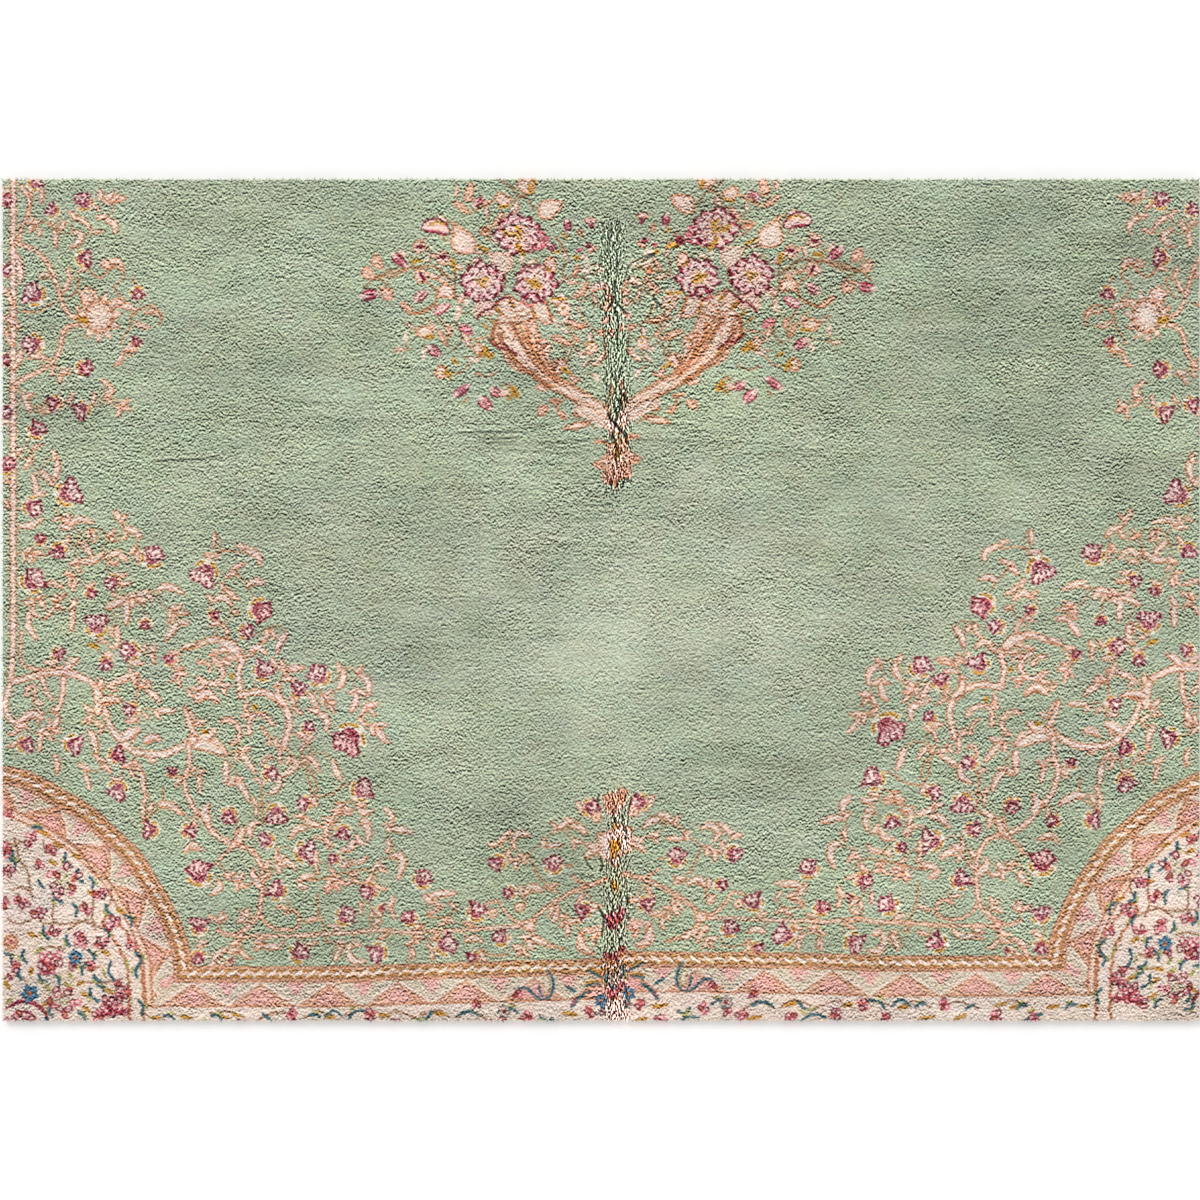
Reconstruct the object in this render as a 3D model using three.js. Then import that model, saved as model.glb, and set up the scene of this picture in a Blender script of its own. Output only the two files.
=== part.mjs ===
// A hand-knotted wool rug, cut to a plain rectangle and lying flat: one solid of cotton
// foundation and cut pile. Millimetres, +Z up. The origin is the middle of the underside,
// +X runs along the long side and +Y from the front edge to the back edge.
import * as THREE from "three";

// Driving sizes of the rug.
const RUG_WIDTH = 1000;
const RUG_DEPTH = 703;
const FOUNDATION_THICKNESS = 2.6;
const PILE_HEIGHT = 8.4;
const RUG_THICKNESS = FOUNDATION_THICKNESS + PILE_HEIGHT;

// The grid that carries the top face.
const COLUMN_SPACING = 28;
const ROW_SPACING = 26;

// An old fold opens the pile down the rug, a little to the right of its middle.
// Rows run from the back edge to the front edge: where the fold is and how deep it opens.
const OLD_FOLD = [
  { y: 352, x: 8, depth: 0 },
  { y: 322, x: 11, depth: 0.9 },
  { y: 250, x: 9, depth: 1.3 },
  { y: 170, x: 15, depth: 1.5 },
  { y: 100, x: 14, depth: 1.1 },
  { y: 60, x: 12, depth: 0.3 },
  { y: -120, x: 12, depth: 0.3 },
  { y: -190, x: 15, depth: 1.3 },
  { y: -270, x: 11, depth: 1.5 },
  { y: -352, x: 13, depth: 1.2 },
];
const OLD_FOLD_HALF_WIDTH = 14;
const OLD_FOLD_BAND = { from: 12 - 2 * OLD_FOLD_HALF_WIDTH, to: 12 + 2 * OLD_FOLD_HALF_WIDTH, count: 8 };

// Shallow ridges that lie along the weft where the rug was once rucked.
const WEFT_RIPPLES = [
  { x: -92, y: 137, length: 150, height: 0.7 },
  { x: 108, y: 124, length: 130, height: 0.5 },
  { x: -8, y: 92, length: 110, height: 0.5 },
  { x: -110, y: -72, length: 190, height: 0.6 },
  { x: 92, y: -80, length: 170, height: 0.6 },
  { x: -310, y: 78, length: 160, height: 0.4 },
  { x: 330, y: 212, length: 190, height: 0.5 },
];
const RIPPLE_WAVELENGTH = 18;
const RIPPLE_HALF_DEPTH = 20;
const RIPPLE_BANDS = [
  { from: 72, to: 157, count: 17 },
  { from: -100, to: -52, count: 10 },
  { from: 192, to: 232, count: 8 },
];

// Slow unevenness of the pile from years of use.
const SWELLS = [
  { wavelength: 410, bearing: 0.4, height: 0.28 },
  { wavelength: 263, bearing: 1.9, height: 0.22 },
  { wavelength: 151, bearing: 2.7, height: 0.14 },
];

// The edge from the pile's shoulder down to the underside. Each ring runs round the rug:
// how far inside the outline it is, and its height. A drop is measured from the top face.
const SHOULDER_INSET = 3.6;
const EDGE_RINGS = [
  { inset: 1.5, drop: 0.5 },
  { inset: 0.3, drop: 1.7 },
  { inset: 0, height: 6.2 },
  { inset: 0.9, height: FOUNDATION_THICKNESS },
  { inset: 1.1, height: 0 },
];

function smoothFalloff(distance, reach) {
  const share = Math.min(Math.abs(distance) / reach, 1);
  return (1 - share * share) ** 2;
}

// The fold's middle and depth at a place along the rug, between the rows of its table.
function foldAt(y) {
  const after = OLD_FOLD.findIndex((row) => row.y <= y);
  if (after <= 0) return after === 0 ? OLD_FOLD[0] : OLD_FOLD[OLD_FOLD.length - 1];
  const [upper, lower] = [OLD_FOLD[after - 1], OLD_FOLD[after]];
  const share = (upper.y - y) / (upper.y - lower.y);
  return {
    x: THREE.MathUtils.lerp(upper.x, lower.x, share),
    depth: THREE.MathUtils.lerp(upper.depth, lower.depth, share),
  };
}

function foldHeight(x, y) {
  const fold = foldAt(y);
  const lip = 0.35 * fold.depth * smoothFalloff(x - fold.x, 2 * OLD_FOLD_HALF_WIDTH);
  return lip - 1.35 * fold.depth * smoothFalloff(x - fold.x, OLD_FOLD_HALF_WIDTH);
}

function rippleHeight(x, y) {
  return WEFT_RIPPLES.reduce((sum, ripple) => {
    const along = smoothFalloff(x - ripple.x, ripple.length / 2);
    const across = smoothFalloff(y - ripple.y, RIPPLE_HALF_DEPTH);
    const wave = Math.cos((2 * Math.PI * (y - ripple.y)) / RIPPLE_WAVELENGTH);
    return sum + ripple.height * along * across * wave;
  }, 0);
}

function swellHeight(x, y) {
  return SWELLS.reduce((sum, swell) => {
    const along = x * Math.cos(swell.bearing) + y * Math.sin(swell.bearing);
    return sum + swell.height * Math.sin((2 * Math.PI * along) / swell.wavelength);
  }, 0);
}

function topHeight(x, y) {
  return RUG_THICKNESS + foldHeight(x, y) + rippleHeight(x, y) + swellHeight(x, y);
}

function evenSteps({ from, to, count }) {
  return Array.from({ length: count + 1 }, (_, i) => from + ((to - from) * i) / count);
}

// Even steps from one side to the other, with closer ones where the top face is uneven.
function gridLines(halfSize, spacing, closeBands) {
  const even = evenSteps({ from: -halfSize, to: halfSize, count: Math.round((2 * halfSize) / spacing) });
  const close = closeBands.flatMap(evenSteps);
  const closest = 0.45 * Math.min(...closeBands.map((band) => (band.to - band.from) / band.count));
  const apart = even.filter((v) => close.every((c) => Math.abs(c - v) > closest));
  return [...apart, ...close].sort((a, b) => a - b);
}

// Every grid place on the rim of the top face, once round the rug.
function rimOrder(columns, rows) {
  const front = columns.map((_, i) => [i, 0]);
  const right = rows.map((_, j) => [columns.length - 1, j]);
  const back = columns.map((_, i) => [i, rows.length - 1]).reverse();
  const left = rows.map((_, j) => [0, j]).reverse();
  return [front, right, back, left].flatMap((side) => side.slice(0, -1));
}

function rugGeometry() {
  const halfX = RUG_WIDTH / 2 - SHOULDER_INSET;
  const halfY = RUG_DEPTH / 2 - SHOULDER_INSET;
  const columns = gridLines(halfX, COLUMN_SPACING, [OLD_FOLD_BAND]);
  const rows = gridLines(halfY, ROW_SPACING, RIPPLE_BANDS);
  const points = [];
  const faces = [];

  rows.forEach((y) => columns.forEach((x) => points.push(x, y, topHeight(x, y))));
  const topIndex = (i, j) => j * columns.length + i;
  for (let j = 0; j + 1 < rows.length; j++) {
    for (let i = 0; i + 1 < columns.length; i++) {
      const [a, b] = [topIndex(i, j), topIndex(i + 1, j)];
      const [c, d] = [topIndex(i + 1, j + 1), topIndex(i, j + 1)];
      faces.push(a, b, c, a, c, d);
    }
  }

  const rim = rimOrder(columns, rows);
  let above = rim.map(([i, j]) => topIndex(i, j));
  for (const ring of EDGE_RINGS) {
    const stretchX = (RUG_WIDTH / 2 - ring.inset) / halfX;
    const stretchY = (RUG_DEPTH / 2 - ring.inset) / halfY;
    const below = rim.map(([i, j]) => {
      const [x, y] = [columns[i], rows[j]];
      points.push(x * stretchX, y * stretchY, ring.height ?? topHeight(x, y) - ring.drop);
      return points.length / 3 - 1;
    });
    rim.forEach((_, k) => {
      const next = (k + 1) % rim.length;
      faces.push(above[k], below[k], below[next], above[k], below[next], above[next]);
    });
    above = below;
  }

  points.push(0, 0, 0);
  const undersideMiddle = points.length / 3 - 1;
  above.forEach((corner, k) => faces.push(undersideMiddle, above[(k + 1) % above.length], corner));

  const geometry = new THREE.BufferGeometry();
  geometry.setAttribute("position", new THREE.Float32BufferAttribute(points, 3));
  geometry.setIndex(faces);
  geometry.computeVertexNormals();
  return geometry;
}

const woolPile = new THREE.MeshStandardMaterial({ color: 0xa7b098, roughness: 0.95, metalness: 0 });
const rug = new THREE.Mesh(rugGeometry(), woolPile);
rug.name = "rug";

const knottedRug = new THREE.Group();
knottedRug.add(rug);

export default knottedRug;
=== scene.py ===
"""A hand-knotted Kirman rug, cut to a plain rectangle and lying flat on a pale floor.

The pattern is drawn the way a rug designer draws it: half of it, in millimetres, as a cartoon
of vines, leaves, rosebuds and border bands. The loom then mirrors the cartoon at the rug's
middle line, lets the right half drift a little as hand weaving does, and dyes every small face
of the pile with it. Places in the tables are (u, v): u is how far left of the middle line, and
v how far above the front edge.
"""

import logging
import math
from dataclasses import dataclass, field, replace
from enum import Enum
from typing import NamedTuple, Sequence

import bpy
import numpy as np
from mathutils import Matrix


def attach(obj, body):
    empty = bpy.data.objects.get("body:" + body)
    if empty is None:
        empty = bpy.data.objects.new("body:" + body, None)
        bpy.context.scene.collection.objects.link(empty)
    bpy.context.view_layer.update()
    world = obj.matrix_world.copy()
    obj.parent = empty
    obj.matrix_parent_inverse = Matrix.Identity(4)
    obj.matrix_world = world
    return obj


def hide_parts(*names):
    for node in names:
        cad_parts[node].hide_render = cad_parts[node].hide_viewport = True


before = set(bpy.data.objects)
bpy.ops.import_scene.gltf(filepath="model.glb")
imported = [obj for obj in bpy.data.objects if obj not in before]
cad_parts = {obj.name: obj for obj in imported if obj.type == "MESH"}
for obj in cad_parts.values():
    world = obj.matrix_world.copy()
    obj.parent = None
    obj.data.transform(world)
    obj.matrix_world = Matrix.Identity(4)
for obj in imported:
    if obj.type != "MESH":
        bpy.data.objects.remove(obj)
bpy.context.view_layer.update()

MM = 0.001
LOG = logging.getLogger("kirman_rug")
Point = tuple[float, float]
Path = Sequence[Point]
Shape = bpy.types.Object
Tree = bpy.types.NodeTree
Node = bpy.types.Node
Socket = bpy.types.NodeSocket


class Yarn(Enum):
    """Dyed wool and cotton, as the colours they show in soft daylight, from 0 to 255."""

    GREEN = (171, 182, 156)
    CHALK = (250, 240, 229)
    CREAM = (234, 214, 200)
    IVORY = (230, 211, 197)
    PEACH = (225, 187, 165)
    BLUSH = (237, 202, 193)
    ROSY = (222, 140, 146)
    PINK = (228, 158, 158)
    SALMON = (196, 129, 93)
    RUST = (175, 110, 74)
    BROWN = (140, 92, 62)
    ROSE = (192, 80, 98)
    WINE = (108, 14, 34)
    GOLD = (192, 142, 58)
    OLIVE = (168, 160, 96)
    OCHRE = (176, 124, 60)
    MIST = (212, 197, 178)
    TEAL = (48, 92, 104)
    BLUE = (92, 138, 172)
    COTTON = (226, 218, 200)

    @property
    def rgb(self) -> np.ndarray:
        """The colour as three numbers from 0 to 1."""
        return np.array(self.value, dtype=np.float32) / 255.0


def smoothstep(value: np.ndarray, low: float, high: float) -> np.ndarray:
    """Eases from 0 at low to 1 at high.

    Args:
        value: The numbers to ease.
        low: Where the result leaves 0.
        high: Where the result reaches 1.

    Returns:
        The eased numbers, from 0 to 1.
    """
    share = np.clip((value - low) / (high - low), 0.0, 1.0)
    return share * share * (3.0 - 2.0 * share)


def linear(rgb: np.ndarray) -> np.ndarray:
    """Turns display colours into light.

    Args:
        rgb: Colours from 0 to 1 as a screen shows them.

    Returns:
        The same colours as linear light.
    """
    return np.where(rgb <= 0.04045, rgb / 12.92, ((np.maximum(rgb, 0.0) + 0.055) / 1.055) ** 2.4)


def rounded(points: Path, per_span: int = 6) -> np.ndarray:
    """Runs a smooth curve through a few points.

    Args:
        points: The places that the curve passes.
        per_span: Steps between two neighbouring places.

    Returns:
        The curve's points, one row each.
    """
    known = np.array(points, dtype=float)
    if len(known) < 3:
        return known
    ends = np.vstack([2 * known[0] - known[1], known, 2 * known[-1] - known[-2]])
    share = np.linspace(0.0, 1.0, per_span, endpoint=False)[:, None]
    spans = []
    for before, start, end, after in zip(ends, ends[1:], ends[2:], ends[3:]):
        bend = 2 * before - 5 * start + 4 * end - after
        twist = 3 * start - before - 3 * end + after
        spans.append(start + 0.5 * share * (end - before + share * (bend + share * twist)))
    return np.vstack([*spans, known[-1:]])


class Reach(NamedTuple):
    """How far each place of a window is from a path, and how far along the path that is."""

    distance: np.ndarray
    along: np.ndarray
    length: float


def measure(u: np.ndarray, v: np.ndarray, path: np.ndarray) -> Reach:
    """Measures every place of a window against a path.

    Args:
        u: The places' distances from the middle line.
        v: The places' distances from the front edge.
        path: The path's points.

    Returns:
        The distances to the path and along it.
    """
    nearest = np.full(u.shape, np.inf, dtype=np.float32)
    along = np.zeros(u.shape, dtype=np.float32)
    walked = 0.0
    for (u0, v0), (u1, v1) in zip(path[:-1], path[1:]):
        du, dv = u1 - u0, v1 - v0
        span = math.hypot(du, dv)
        share = np.clip(((u - u0) * du + (v - v0) * dv) / max(span * span, 1e-9), 0.0, 1.0)
        distance = np.hypot(u - u0 - share * du, v - v0 - share * dv)
        closer = distance < nearest
        nearest = np.where(closer, distance, nearest)
        along = np.where(closer, walked + share * span, along)
        walked += span
    return Reach(nearest, along, max(walked, 1e-6))


@dataclass
class Window:
    """A small part of the cartoon: where it is and the (u, v) of its cells."""

    rows: slice
    columns: slice
    u: np.ndarray
    v: np.ndarray


@dataclass
class Cartoon:
    """The designer's drawing of half the rug, as a fine grid of colours.

    Attributes:
        low_u: Least distance from the middle line that is drawn.
        high_u: Greatest distance from the middle line that is drawn.
        low_v: Lowest place that is drawn, a little below the front edge.
        high_v: Highest place that is drawn.
        cell: Size of a cell.
        edge: Width over which one colour fades into the next.
        colours: One display colour for each cell.
    """

    low_u: float = -26.0
    high_u: float = 522.0
    low_v: float = -16.0
    high_v: float = 708.0
    cell: float = 0.6
    edge: float = 0.7
    colours: np.ndarray = field(default_factory=lambda: np.zeros((0, 0, 3), dtype=np.float32))

    def __post_init__(self) -> None:
        """Covers the drawing with the ground's green."""
        rows = int((self.high_v - self.low_v) / self.cell) + 1
        columns = int((self.high_u - self.low_u) / self.cell) + 1
        self.colours = np.tile(Yarn.GREEN.rgb, (rows, columns, 1))

    def copy(self) -> "Cartoon":
        """A second drawing that starts as this one is."""
        twin = replace(self)
        twin.colours = self.colours.copy()
        return twin

    def window(self, low: Point, high: Point) -> Window:
        """Cuts a window out of the drawing.

        Args:
            low: The window's least u and v.
            high: The window's greatest u and v.

        Returns:
            The window.
        """
        first = [int(max(0.0, (a - b) / self.cell)) for a, b in zip(low, (self.low_u, self.low_v))]
        last = [int(max(0.0, (a - b) / self.cell)) + 2 for a, b in zip(high, (self.low_u, self.low_v))]
        rows = slice(first[1], min(last[1], self.colours.shape[0]))
        columns = slice(first[0], min(last[0], self.colours.shape[1]))
        u = self.low_u + self.cell * np.arange(columns.start, max(columns.stop, columns.start))
        v = self.low_v + self.cell * np.arange(rows.start, max(rows.stop, rows.start))
        across, up = np.meshgrid(u.astype(np.float32), v.astype(np.float32))
        return Window(rows, columns, across, up)

    def square(self, u: float, v: float, half: float) -> Window:
        """Cuts the square window round a place.

        Args:
            u: The place's distance from the middle line.
            v: The place's distance from the front edge.
            half: Half the square's side.

        Returns:
            The window.
        """
        return self.window((u - half, v - half), (u + half, v + half))

    def around(self, path: np.ndarray, margin: float) -> Window:
        """Cuts the window that holds a path.

        Args:
            path: The path's points.
            margin: Room left on every side.

        Returns:
            The window.
        """
        return self.window(tuple(path.min(0) - margin), tuple(path.max(0) + margin))

    def lay(self, window: Window, depth: np.ndarray, yarn: Yarn, strength: float = 1.0) -> None:
        """Colours the places that lie inside a shape.

        Args:
            window: The part of the drawing that holds the shape.
            depth: How far inside the shape each place is, below 0 outside it.
            yarn: The colour.
            strength: How much of the colour covers what was there.
        """
        cover = (strength * np.clip(0.5 + depth / self.edge, 0.0, 1.0))[..., None]
        part = self.colours[window.rows, window.columns]
        self.colours[window.rows, window.columns] = part + (yarn.rgb - part) * cover

    def sample(self, u: np.ndarray, v: np.ndarray) -> np.ndarray:
        """Reads the drawing between its cells.

        Args:
            u: Distances from the middle line.
            v: Distances from the front edge.

        Returns:
            A display colour for each place.
        """
        column = np.clip((u - self.low_u) / self.cell, 0.0, self.colours.shape[1] - 1.001)
        row = np.clip((v - self.low_v) / self.cell, 0.0, self.colours.shape[0] - 1.001)
        left, low = column.astype(int), row.astype(int)
        across, up = (column - left)[..., None], (row - low)[..., None]
        below = self.colours[low, left] * (1 - across) + self.colours[low, left + 1] * across
        above = self.colours[low + 1, left] * (1 - across) + self.colours[low + 1, left + 1] * across
        return below * (1 - up) + above * up


@dataclass(frozen=True)
class Stem:
    """A vine or tendril: a pale core between two darker outlines.

    Attributes:
        path: The places it runs through.
        width: Its whole width.
        rim: The outlines' colour.
        core: The colour between them.
        line: Width of each outline.
        taper: Share of its width left at the far end.
        strength: How much of its colour covers what was there.
    """

    path: Path
    width: float = 5.0
    rim: Yarn = Yarn.SALMON
    core: Yarn | None = Yarn.CREAM
    line: float = 1.5
    taper: float = 1.0
    strength: float = 1.0

    def draw(self, cartoon: Cartoon) -> None:
        """Draws the stem.

        Args:
            cartoon: The drawing that it goes on.
        """
        path = rounded(self.path)
        window = cartoon.around(path, self.width)
        reach = measure(window.u, window.v, path)
        share = reach.along / reach.length
        half = 0.5 * self.width * (1.0 - (1.0 - self.taper) * share)
        wave, ripple = np.sin(0.55 * reach.along), np.sin(1.3 * reach.along + path[0, 0])
        half = half * (1.0 + 0.10 * wave + 0.07 * ripple)
        depth = half - reach.distance
        cartoon.lay(window, depth, self.rim, self.strength)
        if self.core is not None:
            cartoon.lay(window, depth - self.line, self.core)


@dataclass(frozen=True)
class Leaf:
    """A leaf that swells from its stalk and runs out to a point.

    Attributes:
        path: Stalk, sometimes a middle, and tip.
        width: Greatest width, or 0 for one that suits the length.
        rim: The outline's colour.
        core: The colour inside.
        line: Width of the outline.
        lean: How far the inside sits up and out, which thickens the outline below.
    """

    path: Path
    width: float = 0.0
    rim: Yarn = Yarn.SALMON
    core: Yarn = Yarn.CREAM
    line: float = 1.1
    lean: float = 0.35

    def draw(self, cartoon: Cartoon) -> None:
        """Draws the leaf.

        Args:
            cartoon: The drawing that it goes on.
        """
        path = rounded(self.path)
        window = cartoon.around(path, 6.0)
        reach = measure(window.u, window.v, path)
        width = self.width or float(np.clip(0.34 * reach.length, 4.5, 6.4))
        share = np.clip(reach.along / reach.length, 0.0, 1.0)
        half = 0.5 * width * (0.22 + 0.78 * np.sqrt(np.abs(np.sin(np.pi * share**0.8))))
        cartoon.lay(window, half - reach.distance, self.rim)
        lit = measure(window.u - self.lean, window.v - self.lean, path).distance
        cartoon.lay(window, half - self.line - lit, self.core)


@dataclass(frozen=True)
class Rosebud:
    """A rosebud seen from the side: a fan of striped petals, and a gold and white cup behind them.

    Attributes:
        u: Place across.
        v: Place up.
        size: Width of the whole bud.
        towards: Where the petals point, in degrees from the right, upwards positive.
        swell: How much wider it is drawn than its size says.
        spread: Half the angle that the petals fan out over, in radians.
        cup: Radius of the cup as a share of the width.
        stripe: About how wide a dark and a pale stripe are together.
        row_pitch: Distance between two rows of flecks on the petals.
    """

    u: float
    v: float
    size: float
    towards: float
    swell: float = 1.08
    spread: float = 0.86
    cup: float = 0.47
    stripe: float = 3.3
    row_pitch: float = 5.2

    @property
    def drawn(self) -> float:
        """The bud's width as it is drawn."""
        return self.swell * self.size

    @property
    def phase(self) -> float:
        """The bud's own number, which makes its petals differ from its neighbours'."""
        return 1.7 * self.u + 2.9 * self.v

    def draw(self, cartoon: Cartoon) -> None:
        """Draws the bud.

        Args:
            cartoon: The drawing that it goes on.
        """
        size, phase = self.drawn, self.phase
        window = cartoon.square(self.u, self.v, size)
        turn = math.radians(self.towards)
        du, dv = self.u - window.u, window.v - self.v
        ahead = du * math.cos(turn) + dv * math.sin(turn)
        beside = dv * math.cos(turn) - du * math.sin(turn)
        root = 0.34 * size
        angle, reach = np.arctan2(beside, ahead + root), np.hypot(beside, ahead + root)
        points = np.cos(max(3.0, round(size / 3.4)) * angle + phase)
        fan = np.minimum((0.80 + 0.06 * points) * size - reach, (self.spread - np.abs(angle)) * reach)
        ball = 0.32 * size - np.hypot(ahead + 0.06 * size, beside)
        body = np.maximum(fan, ball)
        self.draw_cup(cartoon, window, (ahead, beside), ball)
        cartoon.lay(window, body, Yarn.BLUSH if math.sin(5 * phase) > -0.7 else Yarn.PINK)
        self.draw_stripes(cartoon, window, (angle, reach), body)
        rim = np.minimum(np.minimum(body, 2.3 - body), ahead + 0.16 * size)
        broken = np.sin(1.15 * size * angle + 2.3 * phase) + 0.4
        cartoon.lay(window, np.minimum(rim, broken * 1.4), Yarn.WINE)
        back = np.minimum(np.minimum(body, 1.2 - body), -0.12 * size - ahead)
        cartoon.lay(window, back, Yarn.ROSE, 0.5)

    def draw_cup(self, cartoon: Cartoon, window: Window, place: tuple[np.ndarray, np.ndarray],
                 ball: np.ndarray) -> None:
        """Draws the pale ground round the bud's back and the broken gold cup on it.

        Args:
            cartoon: The drawing.
            window: The part of it that holds the bud.
            place: How far ahead of the bud's middle and beside it each cell is.
            ball: Depth inside the bud's round back.
        """
        ahead, beside = place
        size = self.drawn
        rear = np.hypot(ahead + 0.02 * size, beside)
        from_back = np.pi - np.abs(np.arctan2(beside, ahead + 0.02 * size))
        ring = 0.04 * size + 0.45 - np.abs(rear - self.cup * size)
        cup = np.minimum(ring, (1.35 - from_back) * self.cup * size)
        cartoon.lay(window, np.maximum(cup + 1.1, ball + 1.3), Yarn.CHALK, 0.8)
        break_at = math.pi * math.copysign(0.9, math.sin(self.phase))
        gap = (np.abs(np.arctan2(beside, ahead) - break_at) - 0.22) * 0.41 * size
        cartoon.lay(window, np.minimum(cup, gap), Yarn.GOLD)

    def draw_stripes(self, cartoon: Cartoon, window: Window, place: tuple[np.ndarray, np.ndarray],
                     body: np.ndarray) -> None:
        """Draws the petals' pale and dark stripes, broken in rows.

        Args:
            cartoon: The drawing.
            window: The part of it that holds the bud.
            place: Each cell's angle about the petals' root, and its distance from there.
            body: Depth inside the bud.
        """
        angle, reach = place
        phase, fan = self.phase, 2 * self.spread
        count = max(2, round(0.62 * self.drawn / self.stripe))
        turn = angle / fan * count
        stroke = (turn + 0.35 * np.sin(0.55 * reach + phase) + 0.3 * math.sin(phase)) % 1.0 - 0.5
        aside = np.abs(stroke) * fan / count * reach
        row = np.sin(2 * np.pi * reach / self.row_pitch + 1.9 * np.floor(turn) + phase)
        cartoon.lay(window, np.minimum(body - 1.0, aside - 0.8), Yarn.CHALK, 0.6)
        cartoon.lay(window, np.minimum(np.minimum(body, 0.9 - aside), (0.3 - row) * 1.6), Yarn.ROSY, 0.4)
        cartoon.lay(window, np.minimum(np.minimum(body, 0.85 - aside), (row + 0.3) * 1.6), Yarn.WINE)


@dataclass(frozen=True)
class RoseHead:
    """A full-blown rose: rings of broken petal edges about a gold heart.

    Attributes:
        u: Place across.
        v: Place up.
        radius: Size from the heart to the outer petals.
        flat: How much lower than wide it is.
        edge: The colour of the petals' outer edges.
        fill: The petals' own colour.
        heart: The colour of the middle.
        inner: The colour of the strokes round the heart.
    """

    u: float
    v: float
    radius: float
    flat: float = 0.9
    edge: Yarn = Yarn.WINE
    fill: Yarn = Yarn.BLUSH
    heart: Yarn = Yarn.GOLD
    inner: Yarn = Yarn.RUST

    def draw(self, cartoon: Cartoon) -> None:
        """Draws the rose.

        Args:
            cartoon: The drawing that it goes on.
        """
        radius = self.radius
        window = cartoon.square(self.u, self.v, 1.4 * radius)
        across, up = window.u - self.u, (window.v - self.v) / self.flat
        distance, around = np.hypot(across, up), np.arctan2(up, across)
        phase = 0.9 * self.u + 1.3 * self.v
        lobes = 0.045 * np.cos(5 * around + phase) + 0.035 * np.cos(11 * around - 2.0 * phase)
        depth = radius * (0.95 + lobes) - distance
        cartoon.lay(window, depth + 0.6, Yarn.CREAM, 0.8)
        cartoon.lay(window, depth, self.fill)
        fleck = np.sin(2.3 * window.u + phase) * np.sin(2.1 * window.v + 1.7 * phase)
        cartoon.lay(window, np.minimum(depth - 1.0, (fleck + 0.3) * 2.0), Yarn.CHALK, 0.6)
        cartoon.lay(window, np.minimum(depth - 1.0, (-fleck - 0.66) * 2.0), Yarn.ROSE, 0.5)
        # Each ring's place as a share of the radius, its petals, colour, width and how little it is broken.
        rings = (
            (0.97, 9, self.edge, 1.35, 0.75),
            (0.80, 7, Yarn.ROSE, 0.9, -0.3),
            (0.64, 6, self.edge, 1.05, -0.15),
            (0.44, 5, self.inner, 0.9, 0.0),
        )
        for place, petals, yarn, width, share in rings:
            scallop = np.abs(np.sin(0.5 * petals * around + 0.5 * phase + 5.0 * place))
            line = width - np.abs(distance - radius * (place + lobes - 0.13 + 0.17 * scallop))
            gaps = np.sin((petals + 3) * around + 3 * phase + 7 * place) + share
            cartoon.lay(window, np.minimum(line, gaps * 2.0), yarn)
        heart = 0.26 * radius * (1.0 + 0.3 * np.cos(3 * around + phase)) - distance
        cartoon.lay(window, heart, self.heart, 0.9)
        cartoon.lay(window, np.minimum(heart, (fleck - 0.3) * 2.0), Yarn.PEACH)


@dataclass(frozen=True)
class Bloom:
    """An open flower of rounded petals about a heart.

    Attributes:
        u: Place across.
        v: Place up.
        radius: Size from the heart to a petal's tip.
        petals: Number of petals.
        scallop: How deep the edge is cut between petals, as a share of the radius.
        rim: The outline's colour.
        fill: The petals' colour.
        vein: The colour of the strokes between petals, if they show.
        heart: The heart's colour, if it shows.
        heart_share: The heart's size as a share of the radius.
        ring: Place of a broken inner ring as a share of the radius, or 0 for none.
        flat: How much lower than wide the flower is.
        line: Width of the outline.
    """

    u: float
    v: float
    radius: float
    petals: int = 5
    scallop: float = 0.16
    rim: Yarn = Yarn.SALMON
    fill: Yarn = Yarn.CREAM
    vein: Yarn | None = None
    heart: Yarn | None = None
    heart_share: float = 0.3
    ring: float = 0.0
    flat: float = 1.0
    line: float = 1.4

    def draw(self, cartoon: Cartoon) -> None:
        """Draws the flower.

        Args:
            cartoon: The drawing that it goes on.
        """
        window = cartoon.square(self.u, self.v, 1.4 * self.radius)
        across, up = window.u - self.u, (window.v - self.v) / self.flat
        distance, around = np.hypot(across, up), np.arctan2(up, across)
        phase = 0.9 * self.u + 1.3 * self.v
        lobes = np.cos(self.petals * around + phase) + 0.25 * np.cos((2 * self.petals + 1) * around)
        depth = self.radius * (1.0 - 0.5 * self.scallop + 0.5 * self.scallop * lobes) - distance
        cartoon.lay(window, depth, self.rim)
        cartoon.lay(window, depth - self.line, self.fill)
        if self.vein is not None:
            between = -np.cos(self.petals * around + phase) - 0.8
            inside = np.minimum(depth - 0.5, distance - 0.3 * self.radius)
            cartoon.lay(window, np.minimum(inside, between * 2.0), self.vein, 0.9)
        if self.ring:
            gaps = np.sin(2.5 * self.petals * around + 2 * phase) + 0.45
            ring = 0.06 * self.radius + 0.3 - np.abs(distance - self.ring * self.radius)
            cartoon.lay(window, np.minimum(ring, gaps), self.vein or self.rim, 0.9)
        if self.heart is not None:
            cartoon.lay(window, self.heart_share * self.radius - distance, self.heart)


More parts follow.
